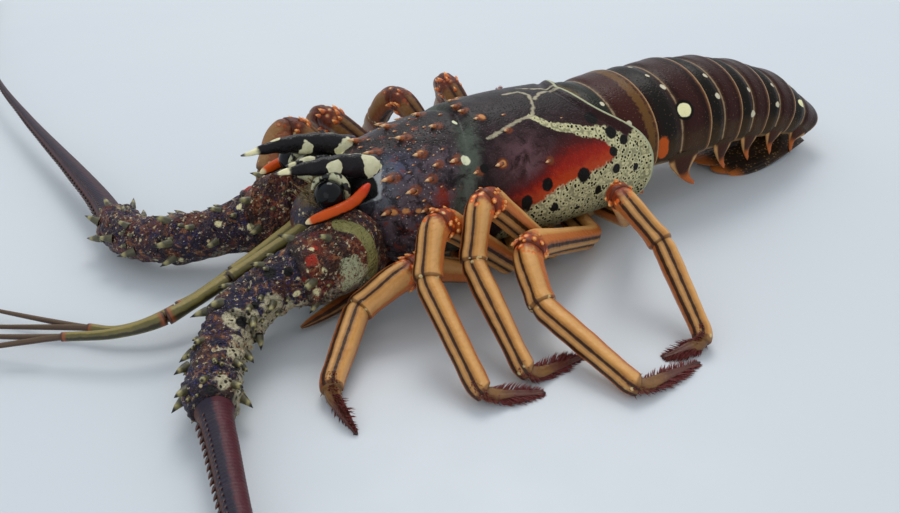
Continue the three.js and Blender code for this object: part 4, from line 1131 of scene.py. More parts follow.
def eye_finish():
    f = Finish("eye_finish", IOR=1.25, Coat_Weight=0.1, Coat_Roughness=0.05)
    ragged = f.cloud(360.0, 4.0, 0.6) - 0.5
    reach = f.mark("reach") + ragged * 0.8
    globe = f.ramp(reach, 8.9, 9.3)
    stalk = f.dye(
        f.blend(f.cloud(240.0), linear("9c9c74"), linear("cfccaa")),
        (f.ramp(f.cloud(190.0, 2.0) + ragged * 0.1, 0.54, 0.58), "14110f"),
        (f.ramp(reach, 6.2, 6.8), "0d0b0b"),
        (f.ramp(reach, 7.6, 8.0) * f.ramp(f.cloud(150.0, 2.0), 0.42, 0.5), "e9e6d2"),
    )
    colour = f.dye(stalk, (globe, "07080a"), (globe * f.ramp(f.cloud(200.0), 0.5, 0.8) * 0.5, "1c2630"))
    return f.wear(colour, 0.36 - globe * 0.28, f.cloud(500.0) * (1 - globe), 0.0004)


def lid_finish():
    f = Finish("eye_lid_finish", IOR=1.45)
    colour = f.dye(
        f.blend(f.cloud(240.0), linear("8f8f68"), linear("d2cfac")),
        (f.ramp(f.cloud(210.0, 2.0, at=None), 0.53, 0.57), "12100e"),
        (f.ramp(f.cloud(700.0, 3.0), 0.6, 0.7) * 0.5, "5a5238"),
    )
    return f.wear(colour, f.cloud(300.0) * 0.2 + 0.3, f.cloud(500.0), 0.0003)


# The lid: a soft raised ring over and behind the globe, from one angle round it to another.
LID_FROM, LID_TO = -75, 125
LID_AT, LID_RADIUS, LID_HALF = 10.0, 6.4, 1.9
eye_coat, lid_coat = eye_finish(), lid_finish()
for name, side in (("left", -1), ("right", 1)):
    root = np.array([EYE_ROOT[0], side * EYE_ROOT[1], EYE_ROOT[2]])
    centre = np.array([EYE_CENTRE[0], side * EYE_CENTRE[1], EYE_CENTRE[2]])
    way = (centre - root) / np.linalg.norm(centre - root)
    path = Path([root, root + way * 18.9])
    size = lambda s, a: eased(EYE_HALF, s)
    eye = rolled(f"eye_{name}_globe", 56, 64, tube(path, 0, 18.8, size, size, cap=0.02, dome=0.05))
    mark_tube(eye, 0, 18.8, cap=0.02)
    hand_in(eye, eye_coat, "eye", f"eye_{name}")
    up = np.array([0, 0, 1.0]) - way * way[2]
    up /= np.linalg.norm(up)
    back = np.cross(way, up) * side
    angles = np.radians(np.linspace(LID_FROM, LID_TO, 60))[:, None]
    ring = root + way * LID_AT + (up * np.cos(angles) + back * np.sin(angles)) * LID_RADIUS
    lid_path = Path(ring, upright=way)
    lid_size = lambda s, a: LID_HALF * np.sin(math.pi * np.clip(s / lid_path.length, 0.04, 0.96)) ** 0.6
    lid = rolled(f"eye_{name}_lid", 24, 60, tube(lid_path, 0, lid_path.length, lid_size, lid_size, cap=0.03, dome=0.2))
    hand_in(lid, lid_coat, "eye", f"eye_{name}")

# %% [markdown]
# ## Antennae
# The great antennae have three stout spiny joints and a long whip. The path and the half sizes
# are those of the solid model. Each joint swells towards its far end, where a wreath of large
# spines stands, and a soft dark fold separates it from the next.

# %% Antenna sizes
ANTENNA_PATHS = {
    -1: [[-140, -22.5, 24], [-155, -25, 23], [-169, -25.5, 22], [-182, -25, 20], [-194.5, -28.5, 17.5],
         [-205.5, -37, 14], [-213.5, -50, 12], [-219.2, -64, 11], [-223.8, -88, 10.5], [-228.8, -114, 11],
         [-234.4, -150, 12], [-239, -220, 14], [-239, -300, 14], [-229, -380, 10], [-212, -452, 5]],
    1: [[-140, 22.5, 24], [-155, 24.5, 22], [-169, 28, 18.5], [-183, 30.5, 16.5], [-197, 35, 15],
        [-208, 42.5, 13.5], [-214.5, 53.5, 12], [-217, 68, 11], [-218.2, 92, 11.5], [-221.6, 127, 12],
        [-229.4, 196, 13], [-234.5, 262, 14], [-232, 330, 13], [-222, 395, 9], [-206, 458, 5]],
}
ANTENNA_JOINTS = [0, 34, 66, 106]
ANTENNA_HALF = [
    [0, 7], [10, 11.5], [30, 11], [40, 9.6], [68, 9.4], [76, 9], [98, 8.8], [105, 7.2], [108, 5.6],
    [150, 4.2], [210, 2.7], [283, 1.4], [400, 0.9], [520, 0.5],
]
ANTENNA_TALL = [[0, 11], [8, 17.5], [20, 16.5], [30, 13], [48, 9.6], [600, 0.2]]
ANTENNA_DROP = 11.8
# Spines: distance, degrees from the top towards the inner edge, length, half thickness.
ANTENNA_SPINES = [
    [22, -20, 5.5, 1.8], [30, 25, 7, 2.1], [31, 80, 6.5, 2], [31, -75, 7, 2.1], [31, -130, 5.5, 1.8],
    [44, 10, 5, 1.7], [48, 85, 6, 1.9], [50, -80, 5.5, 1.8], [55, 40, 4.5, 1.6], [60, -45, 4.5, 1.6],
    [63, 15, 7, 2.1], [63, 70, 7.5, 2.1], [63, 110, 7, 2], [63, -65, 7, 2], [63, -115, 6.5, 1.9],
    [76, 95, 7, 2], [78, -90, 6, 1.8], [80, 30, 5, 1.7], [86, 75, 6.5, 1.9], [88, -60, 5, 1.7],
    [96, 100, 7.5, 2], [99, 60, 7, 2], [100, 10, 6, 1.8], [100, -55, 6.5, 1.9], [98, -105, 6.5, 1.9],
]
TUCK = 1.6  # how far a joint reaches back into the one before it, in mm
JOINT_SWELL = [[0, -1.2], [0.04, -0.9], [0.1, -0.6], [0.25, -0.4], [0.6, 0.1], [0.86, 0.9], [0.97, 0.5], [1, 0.0]]


def antenna_wide(s, turn=0.0):
    return eased(ANTENNA_HALF, s)


def antenna_tall(s, turn):
    wide = antenna_wide(s)
    high = np.where(s < ANTENNA_JOINTS[2], np.maximum(eased(ANTENNA_TALL, s), wide), wide)
    return np.where(np.cos(turn) < 0, np.minimum(high, np.maximum(ANTENNA_DROP, wide)), high)


def antenna_stand(path, side, s, degrees, length, half, forward=0.8, sink=0.97):
    ahead, up, third = (a[0] for a in path.frame(np.array([float(s)])))
    turn = math.radians(degrees)
    out = up * math.cos(turn) - third * side * math.sin(turn)
    tall = float(antenna_tall(np.array([float(s)]), turn)[0])
    reach = math.hypot(tall * math.cos(turn), float(antenna_wide(s)) * math.sin(turn))
    return path.at(s) + out * reach * sink, out + ahead * forward, ahead, length, half


# Marks on the joints, as x, distance from the middle plane, height and radius in millimetres.
RED_MARKS = [[-170, 33, 31, 2.8], [-174, 35, 26, 1.6], [-168, 30.5, 34, 1.5]]
CREAM_MARKS = [
    [-167, 36, 28, 1.3], [-172.7, 34.4, 28.6, 1.1], [-173.7, 35.5, 24.5, 1.5], [-171, 36.3, 20.6, 1.7],
    [-169, 31, 35, 1.0], [-186.3, 24.2, 23, 1.5], [-175.5, 19.1, 21, 1.6], [-168, 16.2, 19.2, 1.2],
    [-177, 25, 28, 1.4], [-202, 28.6, 9.8, 1.4], [-210.8, 35, 8.5, 1.4], [-177.4, 34.9, 21, 1.3],
]
BLACK_MARKS = [
    [-200.3, 41, 21, 2.1], [-184.6, 29, 28.7, 2.4], [-194.7, 39, 12.5, 2.0], [-208.9, 58, 16.5, 1.6],
    [-220, 67.7, 18.4, 1.9], [-210.6, 65, 13.5, 2.0], [-178.7, 31.8, 28.7, 1.8], [-193.7, 36.5, 22.7, 1.5],
]
PALE_MARKS = [
    [-202, 40, 22.4, 4.2], [-196.8, 39, 20, 3.4], [-208, 53, 18, 3.0], [-215.5, 65.5, 18, 3.0],
    [-187, 35.5, 20, 4.4], [-191.5, 38, 16, 3.6], [-212.5, 68, 12.5, 3.6],
]
OLIVE_BAND = [[-157, 28, 40], [-150.5, 32, 37], [-148, 34.6, 30.5], [-147.7, 35.2, 20]]
OLIVE_HALF = 2.6
GREEN_MARKS = [[-157, 36.8, 26, 5.2], [-152, 36, 20, 5.0], [-159, 36, 20, 3.6]]


def mark_joint(piece, path, s):
    """How near each point lies to the marks above, and how far it faces down and outwards."""
    points = to_animal(read_points(piece))
    mirrored = points * np.where(points[:, 1:2] < 0, [1, -1, 1], [1, 1, 1])
    for name, rows in (("red", RED_MARKS), ("cream", CREAM_MARKS), ("black", BLACK_MARKS),
                       ("patch", PALE_MARKS), ("green", GREEN_MARKS)):
        rows = np.array(rows, float)
        away = np.linalg.norm(mirrored[:, None] - rows[None, :, :3], axis=2) / rows[:, 3]
        keep_mark(piece, name, away.min(1))
    band = Path(OLIVE_BAND)
    line = band.at(np.linspace(0, band.length, 40))
    keep_mark(piece, "olive", np.linalg.norm(mirrored[:, None] - line[None], axis=2).min(1) / OLIVE_HALF)
    out = points - path.at(s)
    keep_mark(piece, "pale", out @ PALE_WAY / (np.linalg.norm(out, axis=1) + 1e-6))


PALE_WAY = np.array([0.75, -0.3, -0.45])


def antenna_finish(name, low, high, rust, violet, pale_share):
    f = Finish(name, IOR=1.45, Specular_IOR_Level=0.3)
    ragged = f.cloud(430.0, 4.0, 0.6) - 0.5
    fine = f.cloud(1000.0, 3.0, 0.65)
    blot = f.cloud(170.0, 5.0, 0.65, warp=0.8)
    grain = f.cells(900.0)
    pale = f.dye(
        f.blend(f.cloud(420.0, 4.0, 0.7), linear("8f8464"), linear("e2d9b8")),
        (f.ramp(fine, 0.5, 0.64) * 0.6, "5e4b38"),
        (f.ramp(f.cells(420.0) + ragged * 0.3, 0.34, 0.22), "17120f"),
    )
    colour = f.dye(
        f.blend(blot, linear(low), linear(high)),
        (f.ramp(f.cloud(120.0, 4.0, 0.6, warp=0.5), 0.5, 0.6) * 0.85, rust),
        (f.ramp(grain, 0.42, 0.2) * f.ramp(f.cloud(80.0), 0.4, 0.55) * violet, "4a4a8c"),
        (f.ramp(fine, 0.36, 0.26) * 0.7, "0e0b0d"),
        (f.ramp(f.cloud(330.0, 5.0, 0.75, warp=1.0), 0.46, 0.38) * 0.8, "0c090a"),
        (f.ramp(f.mark("pale") + (blot - 0.5) * 2.8, 0.42, 0.62) * pale_share, pale),
        (f.ramp(f.cloud(520.0, 4.0, 0.7), 0.56, 0.64) * 0.55, "7d6450"),
        (f.ramp(f.cloud(300.0, 5.0, 0.75, warp=0.6), 0.55, 0.61) * 0.8, "95603c"),
        (f.ramp(f.cloud(560.0, 4.0, 0.7), 0.59, 0.65) * 0.8, "d9caa6"),
        (f.ramp(f.mark("patch") + ragged * 0.9, 1.1, 0.75) * pale_share, pale),
        (f.ramp(f.mark("green") + (blot - 0.5) * 1.6 + ragged, 1.05, 0.8) * f.ramp(fine, 0.36, 0.5), "a9ab88"),
        (f.ramp(f.mark("olive") + ragged * 0.5, 1.1, 0.9), f.blend(blot, linear("5c5930"), linear("a39c60"))),
        (f.ramp(f.cells(230.0) + ragged * 0.9, 0.16, 0.04), "c9b48a"),
        (f.ramp(f.mark("red") + ragged * 0.9, 1.1, 0.7), "a32a16"),
        (f.ramp(f.mark("black") + ragged * 0.7, 1.1, 0.85), "0c0a0b"),
        (f.ramp(f.mark("cream") + (blot - 0.5) * 2.4 + ragged, 1.2, 0.8), "e3d9a6"),
        (f.ramp(f.mark("edge") + ragged * 2.0, 2.4, 0.8) * 0.6, "1a1214"),
    )
    rough = f.cloud(300.0) * 0.2 + 0.33
    return f.wear(colour, rough, f.cloud(620.0, 5.0, 0.65) + f.ramp(grain, 0.0, 0.5) * 0.5, 0.0013)


base_coat = antenna_finish("antenna_base_finish", "120c0e", "4c2c22", "6e2c18", 0.3, 0.35)
joint_coats = {
    -1: antenna_finish("antenna_joint_left_finish", "100e16", "2a2440", "4a2a1c", 0.75, 1.0),
    1: antenna_finish("antenna_joint_right_finish", "17111a", "3a2a3c", "5f2e1c", 0.6, 0.3),
}
antenna_spine_coat = spine_finish("antenna_spine_finish", "120e10", "98905f", "17110f", 0.4, 0.66)

# %% [markdown]
# The bar under the eye is the raised edge of the antenna's first joint. It is smooth and bright
# orange; along its lower side a near-black painted shadow is laid.

# %% Antenna joints
EYE_BAR = [[-141, 21.5, 48.5], [-149, 24, 44.2], [-159, 24, 42.2], [-167.5, 23, 40.4]]
EYE_BAR_HALF = 2.2


def bar_finish():
    f = Finish("eye_bar_finish", IOR=1.4, Specular_IOR_Level=0.3)
    ragged = f.cloud(300.0, 4.0, 0.6) - 0.5
    colour = f.dye(
        f.blend(f.cloud(160.0), linear("a83204"), linear("cb5408")),
        (f.ramp(f.mark("share") + ragged * 0.1, 0.35, 0.0) * 0.7, "c4240c"),
        (f.ramp(f.mark("share") + ragged * 0.1, 0.92, 0.98), "d9c596"),
        # Painted shadow: the lower side of the bar is painted near black.
        (f.ramp(f.mark("low") + ragged * 50.0, 92.0, 112.0), "170c0b"),
    )
    return f.wear(colour, f.cloud(300.0) * 0.15 + 0.24, f.cloud(500.0), 0.0003)


bar_coat = bar_finish()
for name, side in (("left", -1), ("right", 1)):
    path = Path.through(ANTENNA_PATHS[side])
    for k, part in enumerate(("base", "middle", "outer")):
        start, end = ANTENNA_JOINTS[k] + (-TUCK if k else 0.15), ANTENNA_JOINTS[k + 1]

        def swell(s, turn, start=start, end=end, k=k):
            share = (s - start) / (end - start)
            spot = path.at(s) + np.stack([np.sin(turn) * 9, np.cos(turn) * 9, 0 * s], -1)
            ridge = 0.3 * np.sin(turn * 5 + 0.6 * np.sin(s / 7))
            return eased(JOINT_SWELL, share) * (0.7 if k else 1.0) + lumps(spot, 9.0, 5 + k) * 0.5 + lumps(spot, 3.5, 9 + k) * 0.35 + ridge

        piece = rolled(f"antenna_{name}_{part}_shell", 110, 110,
                       tube(path, start, end, antenna_tall, antenna_wide, swell, flip=-side, cap=0.02, dome=0.3))
        s, _ = mark_tube(piece, start, end, cap=0.02)
        keep_mark(piece, "edge", np.minimum(s - start, end - s))
        mark_joint(piece, path, s)
        hand_in(piece, joint_coats[side] if k else base_coat, "antenna_shell", f"antenna_{name}_{part}")
        stands = [antenna_stand(path, side, *row) for row in ANTENNA_SPINES if start < row[0] < end]
        draw = np.random.default_rng(20 + k)
        for _ in range((16, 20, 30)[k]):
            s = draw.uniform(start + 4, end - 1.5)
            angle = draw.uniform(-140, 140)
            long = draw.uniform(1.2, 3.0)
            stands.append(antenna_stand(path, side, s, angle, long, long * 0.42))
        spines = planted(f"antenna_{name}_{part}_spines", THORN, stands)
        hand_in(spines, antenna_spine_coat, "antenna_shell", f"antenna_{name}_{part}")
    bar_path = Path.through([[x, side * y, z] for x, y, z in EYE_BAR])
    bar_size = lambda s, a: EYE_BAR_HALF * np.sqrt(np.clip(1 - (2 * s / bar_path.length - 1) ** 4, 0.05, 1))
    bar = rolled(f"eye_bar_{name}", 32, 60, tube(bar_path, 0, bar_path.length, bar_size, bar_size, flip=-side, cap=0.03, dome=0.3))
    s, degrees = mark_tube(bar, 0, bar_path.length, cap=0.03)
    keep_mark(bar, "share", s / bar_path.length)
    keep_mark(bar, "low", np.abs(degrees))
    hand_in(bar, bar_coat, "antenna_shell", f"antenna_{name}_base")

# %% [markdown]
# The whip is stiff and made of several hundred short rings, each a hair wider at its far end.
# Rows of small spines run along both of its sides and grow finer towards the tip.

# %% Whips
RING_FIRST, RING_LAST = 1.5, 2.6
WHIP_FROM = 106.15
WHIP_SPINES_TO = 420


def whip_rings(s):
    """Which ring a place lies in: rings grow longer towards the tip."""
    share = np.clip((s - WHIP_FROM) / 480, 0, 1)
    return (s - WHIP_FROM) / (RING_FIRST + (RING_LAST - RING_FIRST) * share * 0.5)


def whip_finish(name, outer, inner, edge):
    """Colours of the whip's outer (front) half, its inner half and its front edge."""
    f = Finish(name, IOR=1.45, Specular_IOR_Level=0.3)
    ragged = f.cloud(430.0, 4.0, 0.6) - 0.5
    front = f.mark("front") + ragged * 0.3
    colour = f.dye(
        f.blend(f.cloud(150.0, 4.0, 0.6), linear(inner), linear("3a1a22")),
        (f.ramp(front, -0.12, 0.12), f.blend(f.cloud(220.0, 4.0, 0.6), linear(outer), linear("2c2436"))),
        (f.ramp(front, 0.72, 0.95) * 0.7, edge),
        (f.ramp(f.mark("notch"), 0.8, 0.97) * 0.2, "7d6a60"),
        (f.ramp(f.mark("reach"), 250.0, 420.0) * 0.6, "5a3a2c"),
    )
    return f.wear(colour, f.cloud(300.0) * 0.15 + 0.38, f.cloud(800.0, 4.0), 0.0002)


whip_coats = {
    -1: whip_finish("feeler_left_finish", "1a1420", "571f2a", "5a3424"),
    1: whip_finish("feeler_right_finish", "2a222c", "3a2732", "5a2e24"),
}
whip_spine_coat = spine_finish("feeler_spine_finish", "1c1418", "4a2418", "a06a40", 0.3, 0.8)
# Rows of spines on the whip: degrees from the top towards the front edge, length in mm.
WHIP_ROWS = [[88, 3.0], [118, 2.2], [40, 1.3], [-150, 1.2]]
for name, side in (("left", -1), ("right", 1)):
    path = Path.through(ANTENNA_PATHS[side])
    end = path.length - 0.4
    ringed = lambda s, turn: 0.025 * antenna_wide(s) * (whip_rings(s) % 1.0) ** 2
    whip = rolled(f"antenna_{name}_whip", 24, 1500,
                  tube(path, WHIP_FROM, end, antenna_wide, antenna_wide, ringed, flip=-side, cap=0.002, dome=0.3))
    s, _ = mark_tube(whip, WHIP_FROM, end, cap=0.002)
    keep_mark(whip, "notch", whip_rings(s) % 1.0)
    out = to_animal(read_points(whip)) - path.at(s)
    keep_mark(whip, "front", -out[:, 0] / (np.linalg.norm(out, axis=1) + 1e-6))
    hand_in(whip, whip_coats[side], "feeler", f"antenna_{name}_flagellum")
    stands = []
    for degrees, length in WHIP_ROWS:
        s = 110.0 + degrees % 3
        while s < WHIP_SPINES_TO:
            fade = 1 - (s - 110) / (WHIP_SPINES_TO - 90)
            long = length * fade + 0.35
            stands.append(antenna_stand(path, side, s, degrees, long, long * 0.24 + 0.12, forward=1.2))
            s += 1.7 + length * 0.5 + 1.2 * (1 - fade)
    hand_in(planted(f"antenna_{name}_whip_spines", THORN, stands), whip_spine_coat, "feeler",
            f"antenna_{name}_flagellum")

# %% [markdown]
# ## Antennules
# The small feelers are olive stalks of three joints, each ending in two thin whips that lie low
# over the deck. The last joint is orange at its end.

# %% Antennules
ANTENNULE_PATHS = {
    -1: [[-160, -4, 28], [-190, -10.5, 21], [-219.5, -16, 15], [-236.5, -12, 12], [-254, -1, 10]],
    1: [[-160, 4, 26], [-188.9, -1, 16.1], [-217.6, -6.5, 9.5], [-234.9, -1, 5.8], [-244, 7, 5.4]],
}
ANTENNULE_HALF = [[0, 3.2], [50, 2.5], [60, 2.9], [75, 2.1], [95, 1.6]]
ANTENNULE_NODES = [0.0, 0.36, 0.62, 1.0]
THIN_REACH, THIN_SPREAD = 78, 9


def antennule_finish():
    f = Finish("antennule_finish", IOR=1.48)
    ragged = f.cloud(330.0, 4.0, 0.6) - 0.5
    share = f.mark("share")
    stripe = f.ramp(f.mark("low") + ragged * 50.0, 62.0, 78.0) * f.ramp(f.mark("low") + ragged * 50.0, 118.0, 100.0)
    colour = f.dye(
        f.blend(f.cloud(140.0, 4.0, 0.6), linear("403c1c"), linear("74692f")),
        (f.ramp(f.mark("low") + ragged * 40.0, 34.0, 20.0) * 0.6, "9a8744"),
        (stripe * 0.85, "231d10"),
        (f.ramp(f.mark("edge") + ragged * 2.0, 2.4, 0.8) * f.ramp(share, 0.45, 0.5) * 0.8, "8f4520"),
        (f.ramp(share, 1.02, 1.1) * 0.85, "4a3022"),
        (f.ramp(f.mark("edge"), 0.7, 0.2) * 0.8, "2a150c"),
    )
    return f.wear(colour, f.cloud(300.0) * 0.15 + 0.32, f.cloud(600.0), 0.0003)


antennule_coat = antennule_finish()
for name, side in (("left", -1), ("right", 1)):
    stem = Path.through(ANTENNULE_PATHS[side])
    pieces = []
    for a, b in zip(ANTENNULE_NODES[:-1], ANTENNULE_NODES[1:]):
        start, end = a * stem.length, b * stem.length
        size = lambda s, turn, start=start, end=end: (
            eased(ANTENNULE_HALF, s * 95 / stem.length) * (0.9 + 0.16 * ((s - start) / (end - start)) ** 3))
        part = rolled("part", 24, 50, tube(stem, start, end, size, size, flip=-side, cap=0.03))
        s, degrees = mark_tube(part, start, end, cap=0.03)
        keep_mark(part, "share", s / stem.length)
        keep_mark(part, "low", np.abs(degrees))
        keep_mark(part, "edge", np.minimum(s - start, end - s))
        pieces.append(part)
    fork, heading = stem.at(stem.length), stem.frame(np.array([stem.length]))[0][0]
    for way in (-1, 1):
        outward = np.array([-heading[1], heading[0], 0]) * way * THIN_SPREAD
        half, tip = fork + heading * 0.45 * THIN_REACH + outward * 0.5, fork + heading * THIN_REACH + outward * 1.3
        half[2], tip[2] = max(half[2], 3), 4 + way
        thin = Path.through([fork - heading * 4, fork, half, tip])
        size = lambda s, turn: 1.25 + (0.3 - 1.25) * s / thin.length + 0.05 * (s % 1.0)
        part = rolled("part", 10, 300, tube(thin, 0, thin.length, size, size, cap=0.005, dome=0.2))
        s, degrees = mark_tube(part, 0, thin.length, cap=0.005)
        keep_mark(part, "share", 1.1 + 0 * s)
        keep_mark(part, "low", np.abs(degrees))
        keep_mark(part, "edge", 9 + 0 * s)
        pieces.append(part)
    hand_in(joined(f"antennule_{name}_stalk", *pieces), antennule_coat, "antennule", f"antennule_{name}")

# %% [markdown]
# ## Legs
# Ten legs, each with a long upper joint, a short knee joint, a long shank and a pointed foot.
# Every joint is a flattened tube on the solid model's path. It widens towards its far end, where
# its edge stands up a little, and the next joint starts narrower inside it. Blunt thorns stand
# at the far end of the upper joint.

# %% Leg sizes
HIP_Y, HIP_Z = 12, 4.6
LEGS = {
    -1: [
        (-97, [[-107, -32, 5.6], [-137, -43, 23], [-159, -43, 12], [-182.6, -70.6, 4.6], [-182, -91, 0.35]], 1.08),
        (-80, [[-90, -38, 5.8], [-127, -43.5, 42], [-138.3, -58.5, 26], [-140, -98.8, 3.8], [-119, -104.5, 0.35]], 1.0),
        (-63, [[-72, -38, 5.8], [-108.5, -45, 46.5], [-118.8, -56.1, 25.8], [-121.6, -97.5, 3.8], [-96.2, -94.5, 0.35]], 1.0),
        (-46, [[-51, -37, 6.2], [-99.6, -59, 28.2], [-102.9, -77.7, 14], [-94.1, -122.1, 3.8], [-64, -118, 0.35]], 1.02),
        (-30, [[-31, -35, 8], [-58.3, -59, 39.5], [-50.7, -78.3, 24], [-57.6, -113.5, 3.6], [-73.8, -109.5, 0.35]], 0.95),
    ],
    1: [
        (-97, [[-106, 33, 5.8], [-145, 56, 45], [-158, 41, 31], [-157, 54, 4.4], [-177, 60, 0.35]], 1.05),
        (-80, [[-90, 38, 5.8], [-126, 61, 44], [-123, 74, 28], [-113, 104, 3.8], [-91, 98, 0.35]], 1.0),
        (-63, [[-70, 38, 5.8], [-88, 65, 44], [-92, 76, 27], [-84, 106, 3.8], [-62, 104, 0.35]], 1.0),
        (-46, [[-50, 38, 6.2], [-60, 71, 42], [-53, 80, 26], [-40, 112, 3.8], [-16, 108, 0.35]], 1.0),
        (-30, [[-29, 35, 8], [-22, 61, 26], [-16, 79, 18], [-6, 110, 3.6], [8, 128, 0.35]], 0.92),
    ],
}
LEG_ACROSS = [6.2, 5, 4.9, 4.7, 3.6, 0.6]
LEG_ALONG = [3.8, 4, 5.6, 5.2, 3.7, 0.6]
LEG_BEND = [0, 5, 12.5, 4.5, 5.5, 0]
FOOT_HALF = [[0, 2.6], [0.25, 2.2], [0.7, 1.3], [1, 0.35]]
# Dark lengthwise lines: degrees round each half of a leg from its middle line, half width in mm.
LINE_TURN = 81
LEG_LINES = [[0, 0.3], [180, 0.3], [48, 0.42]]


def leg_path(hip, side, joints):
    """Straight lines with rounded corners, the middles of the corners, and the leg's own plane."""
    joints = [np.array(p, float) for p in ([hip, side * HIP_Y, HIP_Z], *joints)]
    line, corners = [joints[0]], []
    for j in range(1, len(joints) - 1):
        into = (joints[j] - joints[j - 1]) / np.linalg.norm(joints[j] - joints[j - 1])
        out = (joints[j + 1] - joints[j]) / np.linalg.norm(joints[j + 1] - joints[j])
        enter, leave = joints[j] - into * LEG_BEND[j], joints[j] + out * LEG_BEND[j]
        t = np.linspace(0, 1, 24)[:, None]
        corners.append((len(line), len(line) + 23))
        line += list((1 - t) ** 2 * enter + 2 * t * (1 - t) * joints[j] + t**2 * leave)
    line.append(joints[-1])
    normal = np.cross(joints[2] - joints[0], joints[4] - joints[2])
    path = Path(line, upright=normal / np.linalg.norm(normal))
    places = [0.0, *((path.reach[a] + path.reach[b]) / 2 for a, b in corners), path.length]
    return path, places


def leg_finish():
    f = Finish("leg_shell_finish", IOR=1.45, Specular_IOR_Level=0.3)
    ragged = f.cloud(300.0, 4.0, 0.6) - 0.5
    streaks = f.cloud(120.0, 4.0, 0.6)
    line, knee, face = f.mark("line"), f.mark("knee"), f.mark("face")
    colour = f.dye(
        f.blend(streaks, linear("b07234"), linear("dba45a")),
        (f.ramp(face + ragged * 14.0, 106.0, 96.0) * f.ramp(face, 44.0, 52.0) * 0.8, "b9602c"),
        (f.ramp(face + ragged * 14.0, 46.0, 40.0) * 0.6, "cc9c62"),
        (f.ramp(face + ragged * 14.0, 104.0, 120.0) * f.ramp(face + ragged * 10.0, 156.0, 144.0) * 0.6, "dda86c"),
        (f.ramp(line + ragged * 0.9, 1.6, 0.5) * 0.5, "6b4020"),
        (f.ramp(line + ragged * 0.8, 0.5, 0.05) * f.ramp(knee, 2.0, 5.0) * 0.95, "260f07"),
        (f.ramp(knee + ragged * 6.0, 6.5, 3.0) * 0.95, f.blend(f.cloud(240.0, 4.0), linear("320c06"), linear("a83a0e"))),
        (f.ramp(knee + ragged * 3.0, 7.5, 5.5) * f.ramp(f.cells(300.0) + ragged * 0.2, 0.4, 0.3), "d9601e"),
        (f.ramp(knee + ragged * 3.0, 7.5, 5.5) * f.ramp(f.cells(300.0) + ragged * 0.2, 0.22, 0.14), "f2ac68"),
        # Painted shade: the far-side legs are darkened as if in the body's shadow, and the jaw legs half as much.
        (f.mark("far") * 0.65, "34170e"),
        (f.ramp(f.mark("edge") + ragged * 0.8, 1.1, 0.3) * 0.6, "3a1c10"),
        (f.ramp(f.mark("edge"), 3.0, 1.0) * f.ramp(f.cells(300.0), 0.26, 0.16) * 0.8, "dcc48c"),
    )
    return f.wear(colour, f.cloud(300.0) * 0.18 + 0.3, f.cloud(500.0, 4.0), 0.0006)


def foot_finish():
    f = Finish("leg_tip_finish", IOR=1.5)
    share = f.mark("share") + (f.cloud(300.0) - 0.5) * 0.3
    colour = f.dye(f.blend(f.cloud(200.0, 4.0), linear("5f3a1a"), linear("8a6028")),
                   (f.ramp(share, 0.15, 0.5) * 0.85, "4c1c1a"), (f.ramp(share, 0.85, 0.97), "3a1410"))
    return f.wear(colour, f.cloud(300.0) * 0.2 + 0.35, f.cloud(900.0), 0.0004)


def hair_finish():
    f = Finish("bristle_finish", IOR=1.45)
    colour = f.dye(f.blend(f.cloud(500.0), linear("541a1e"), linear("7a2c28")),
                   (f.ramp(f.mark("tip"), 0.5, 1.0) * 0.6, "a8604a"))
    return f.wear(colour, f.cloud(500.0) * 0.2 + 0.45, f.cloud(900.0), 0.0002)


leg_coat, foot_coat, hair_coat = leg_finish(), foot_finish(), hair_finish()

# %% Legs
FLARE = [[0, -0.7], [0.05, -0.35], [0.1, 0.0], [0.75, 0.0], [0.93, 0.35], [1, 0.0]]
LEG_TUCK = 1.0  # how far a joint reaches back into the one before it, in mm
HAIRS_ON_FOOT = 420
KNEE_THORNS = 22


def leg_halves(places, thick):
    """Half sizes of a leg across and along its plane, as functions of the distance."""
    def sized(halves):
        pairs = [[p, h] for p, h in zip(places, halves)]
        foot = [[places[4] + share * (places[5] - places[4]), half] for share, half in FOOT_HALF]
        return lambda s, turn=0: thick * np.where(s > places[4], eased(foot, s), eased(pairs, s))

    return sized(LEG_ACROSS), sized(LEG_ALONG)


def line_distance_round(degrees, half):
    """Millimetres beyond the nearest dark line, for a tube of the given half size."""
    face = (degrees - LINE_TURN) % 180
    return face, np.min([np.abs(face - at) * math.pi / 180 * half - wide for at, wide in LEG_LINES], 0)


def leg_joint(name, path, places, thick, start, end, marks, far=0.0):
    across, along = leg_halves(places, thick)

    def flare(s, turn):
        share = (s - start) / (end - start)
        _, away = line_distance_round(np.degrees(turn), across(s))
        ends = np.clip(np.minimum(s - start, end - s) / 4, 0, 1)
        return eased(FLARE, share) - 0.35 * hill(np.maximum(away, 0), 0.6) * ends - 0.3 * np.cos(4 * turn) * ends + lumps(path.at(s), 14.0, 4) * 0.12

    piece = rolled(name, 64, 80, tube(path, start, end, across, along, flare, cap=0.03, dome=0.5))
    s, degrees = mark_tube(piece, start, end, cap=0.03)
    face, away = line_distance_round(degrees, across(s))
    keep_mark(piece, "face", face)
    keep_mark(piece, "line", away)
    keep_mark(piece, "knee", np.min([np.abs(s - places[k]) + more for k, more in marks] or [99 + 0 * s], 0))
    # How much painted shade the piece gets.
    keep_mark(piece, "far", far + 0 * s)
    keep_mark(piece, "edge", np.minimum(s - start, end - s))
    return piece


def around_leg(path, places, thick, s, turn):
    """Places on the leg's skin, the ways out of it and the way along."""
    across, along = leg_halves(places, thick)
    ahead, up, third = path.frame(s)
    out = up * np.cos(turn)[:, None] + third * np.sin(turn)[:, None]
    at = path.at(s) + up * (np.cos(turn) * across(s))[:, None] + third * (np.sin(turn) * along(s))[:, None]
    return at, out, ahead


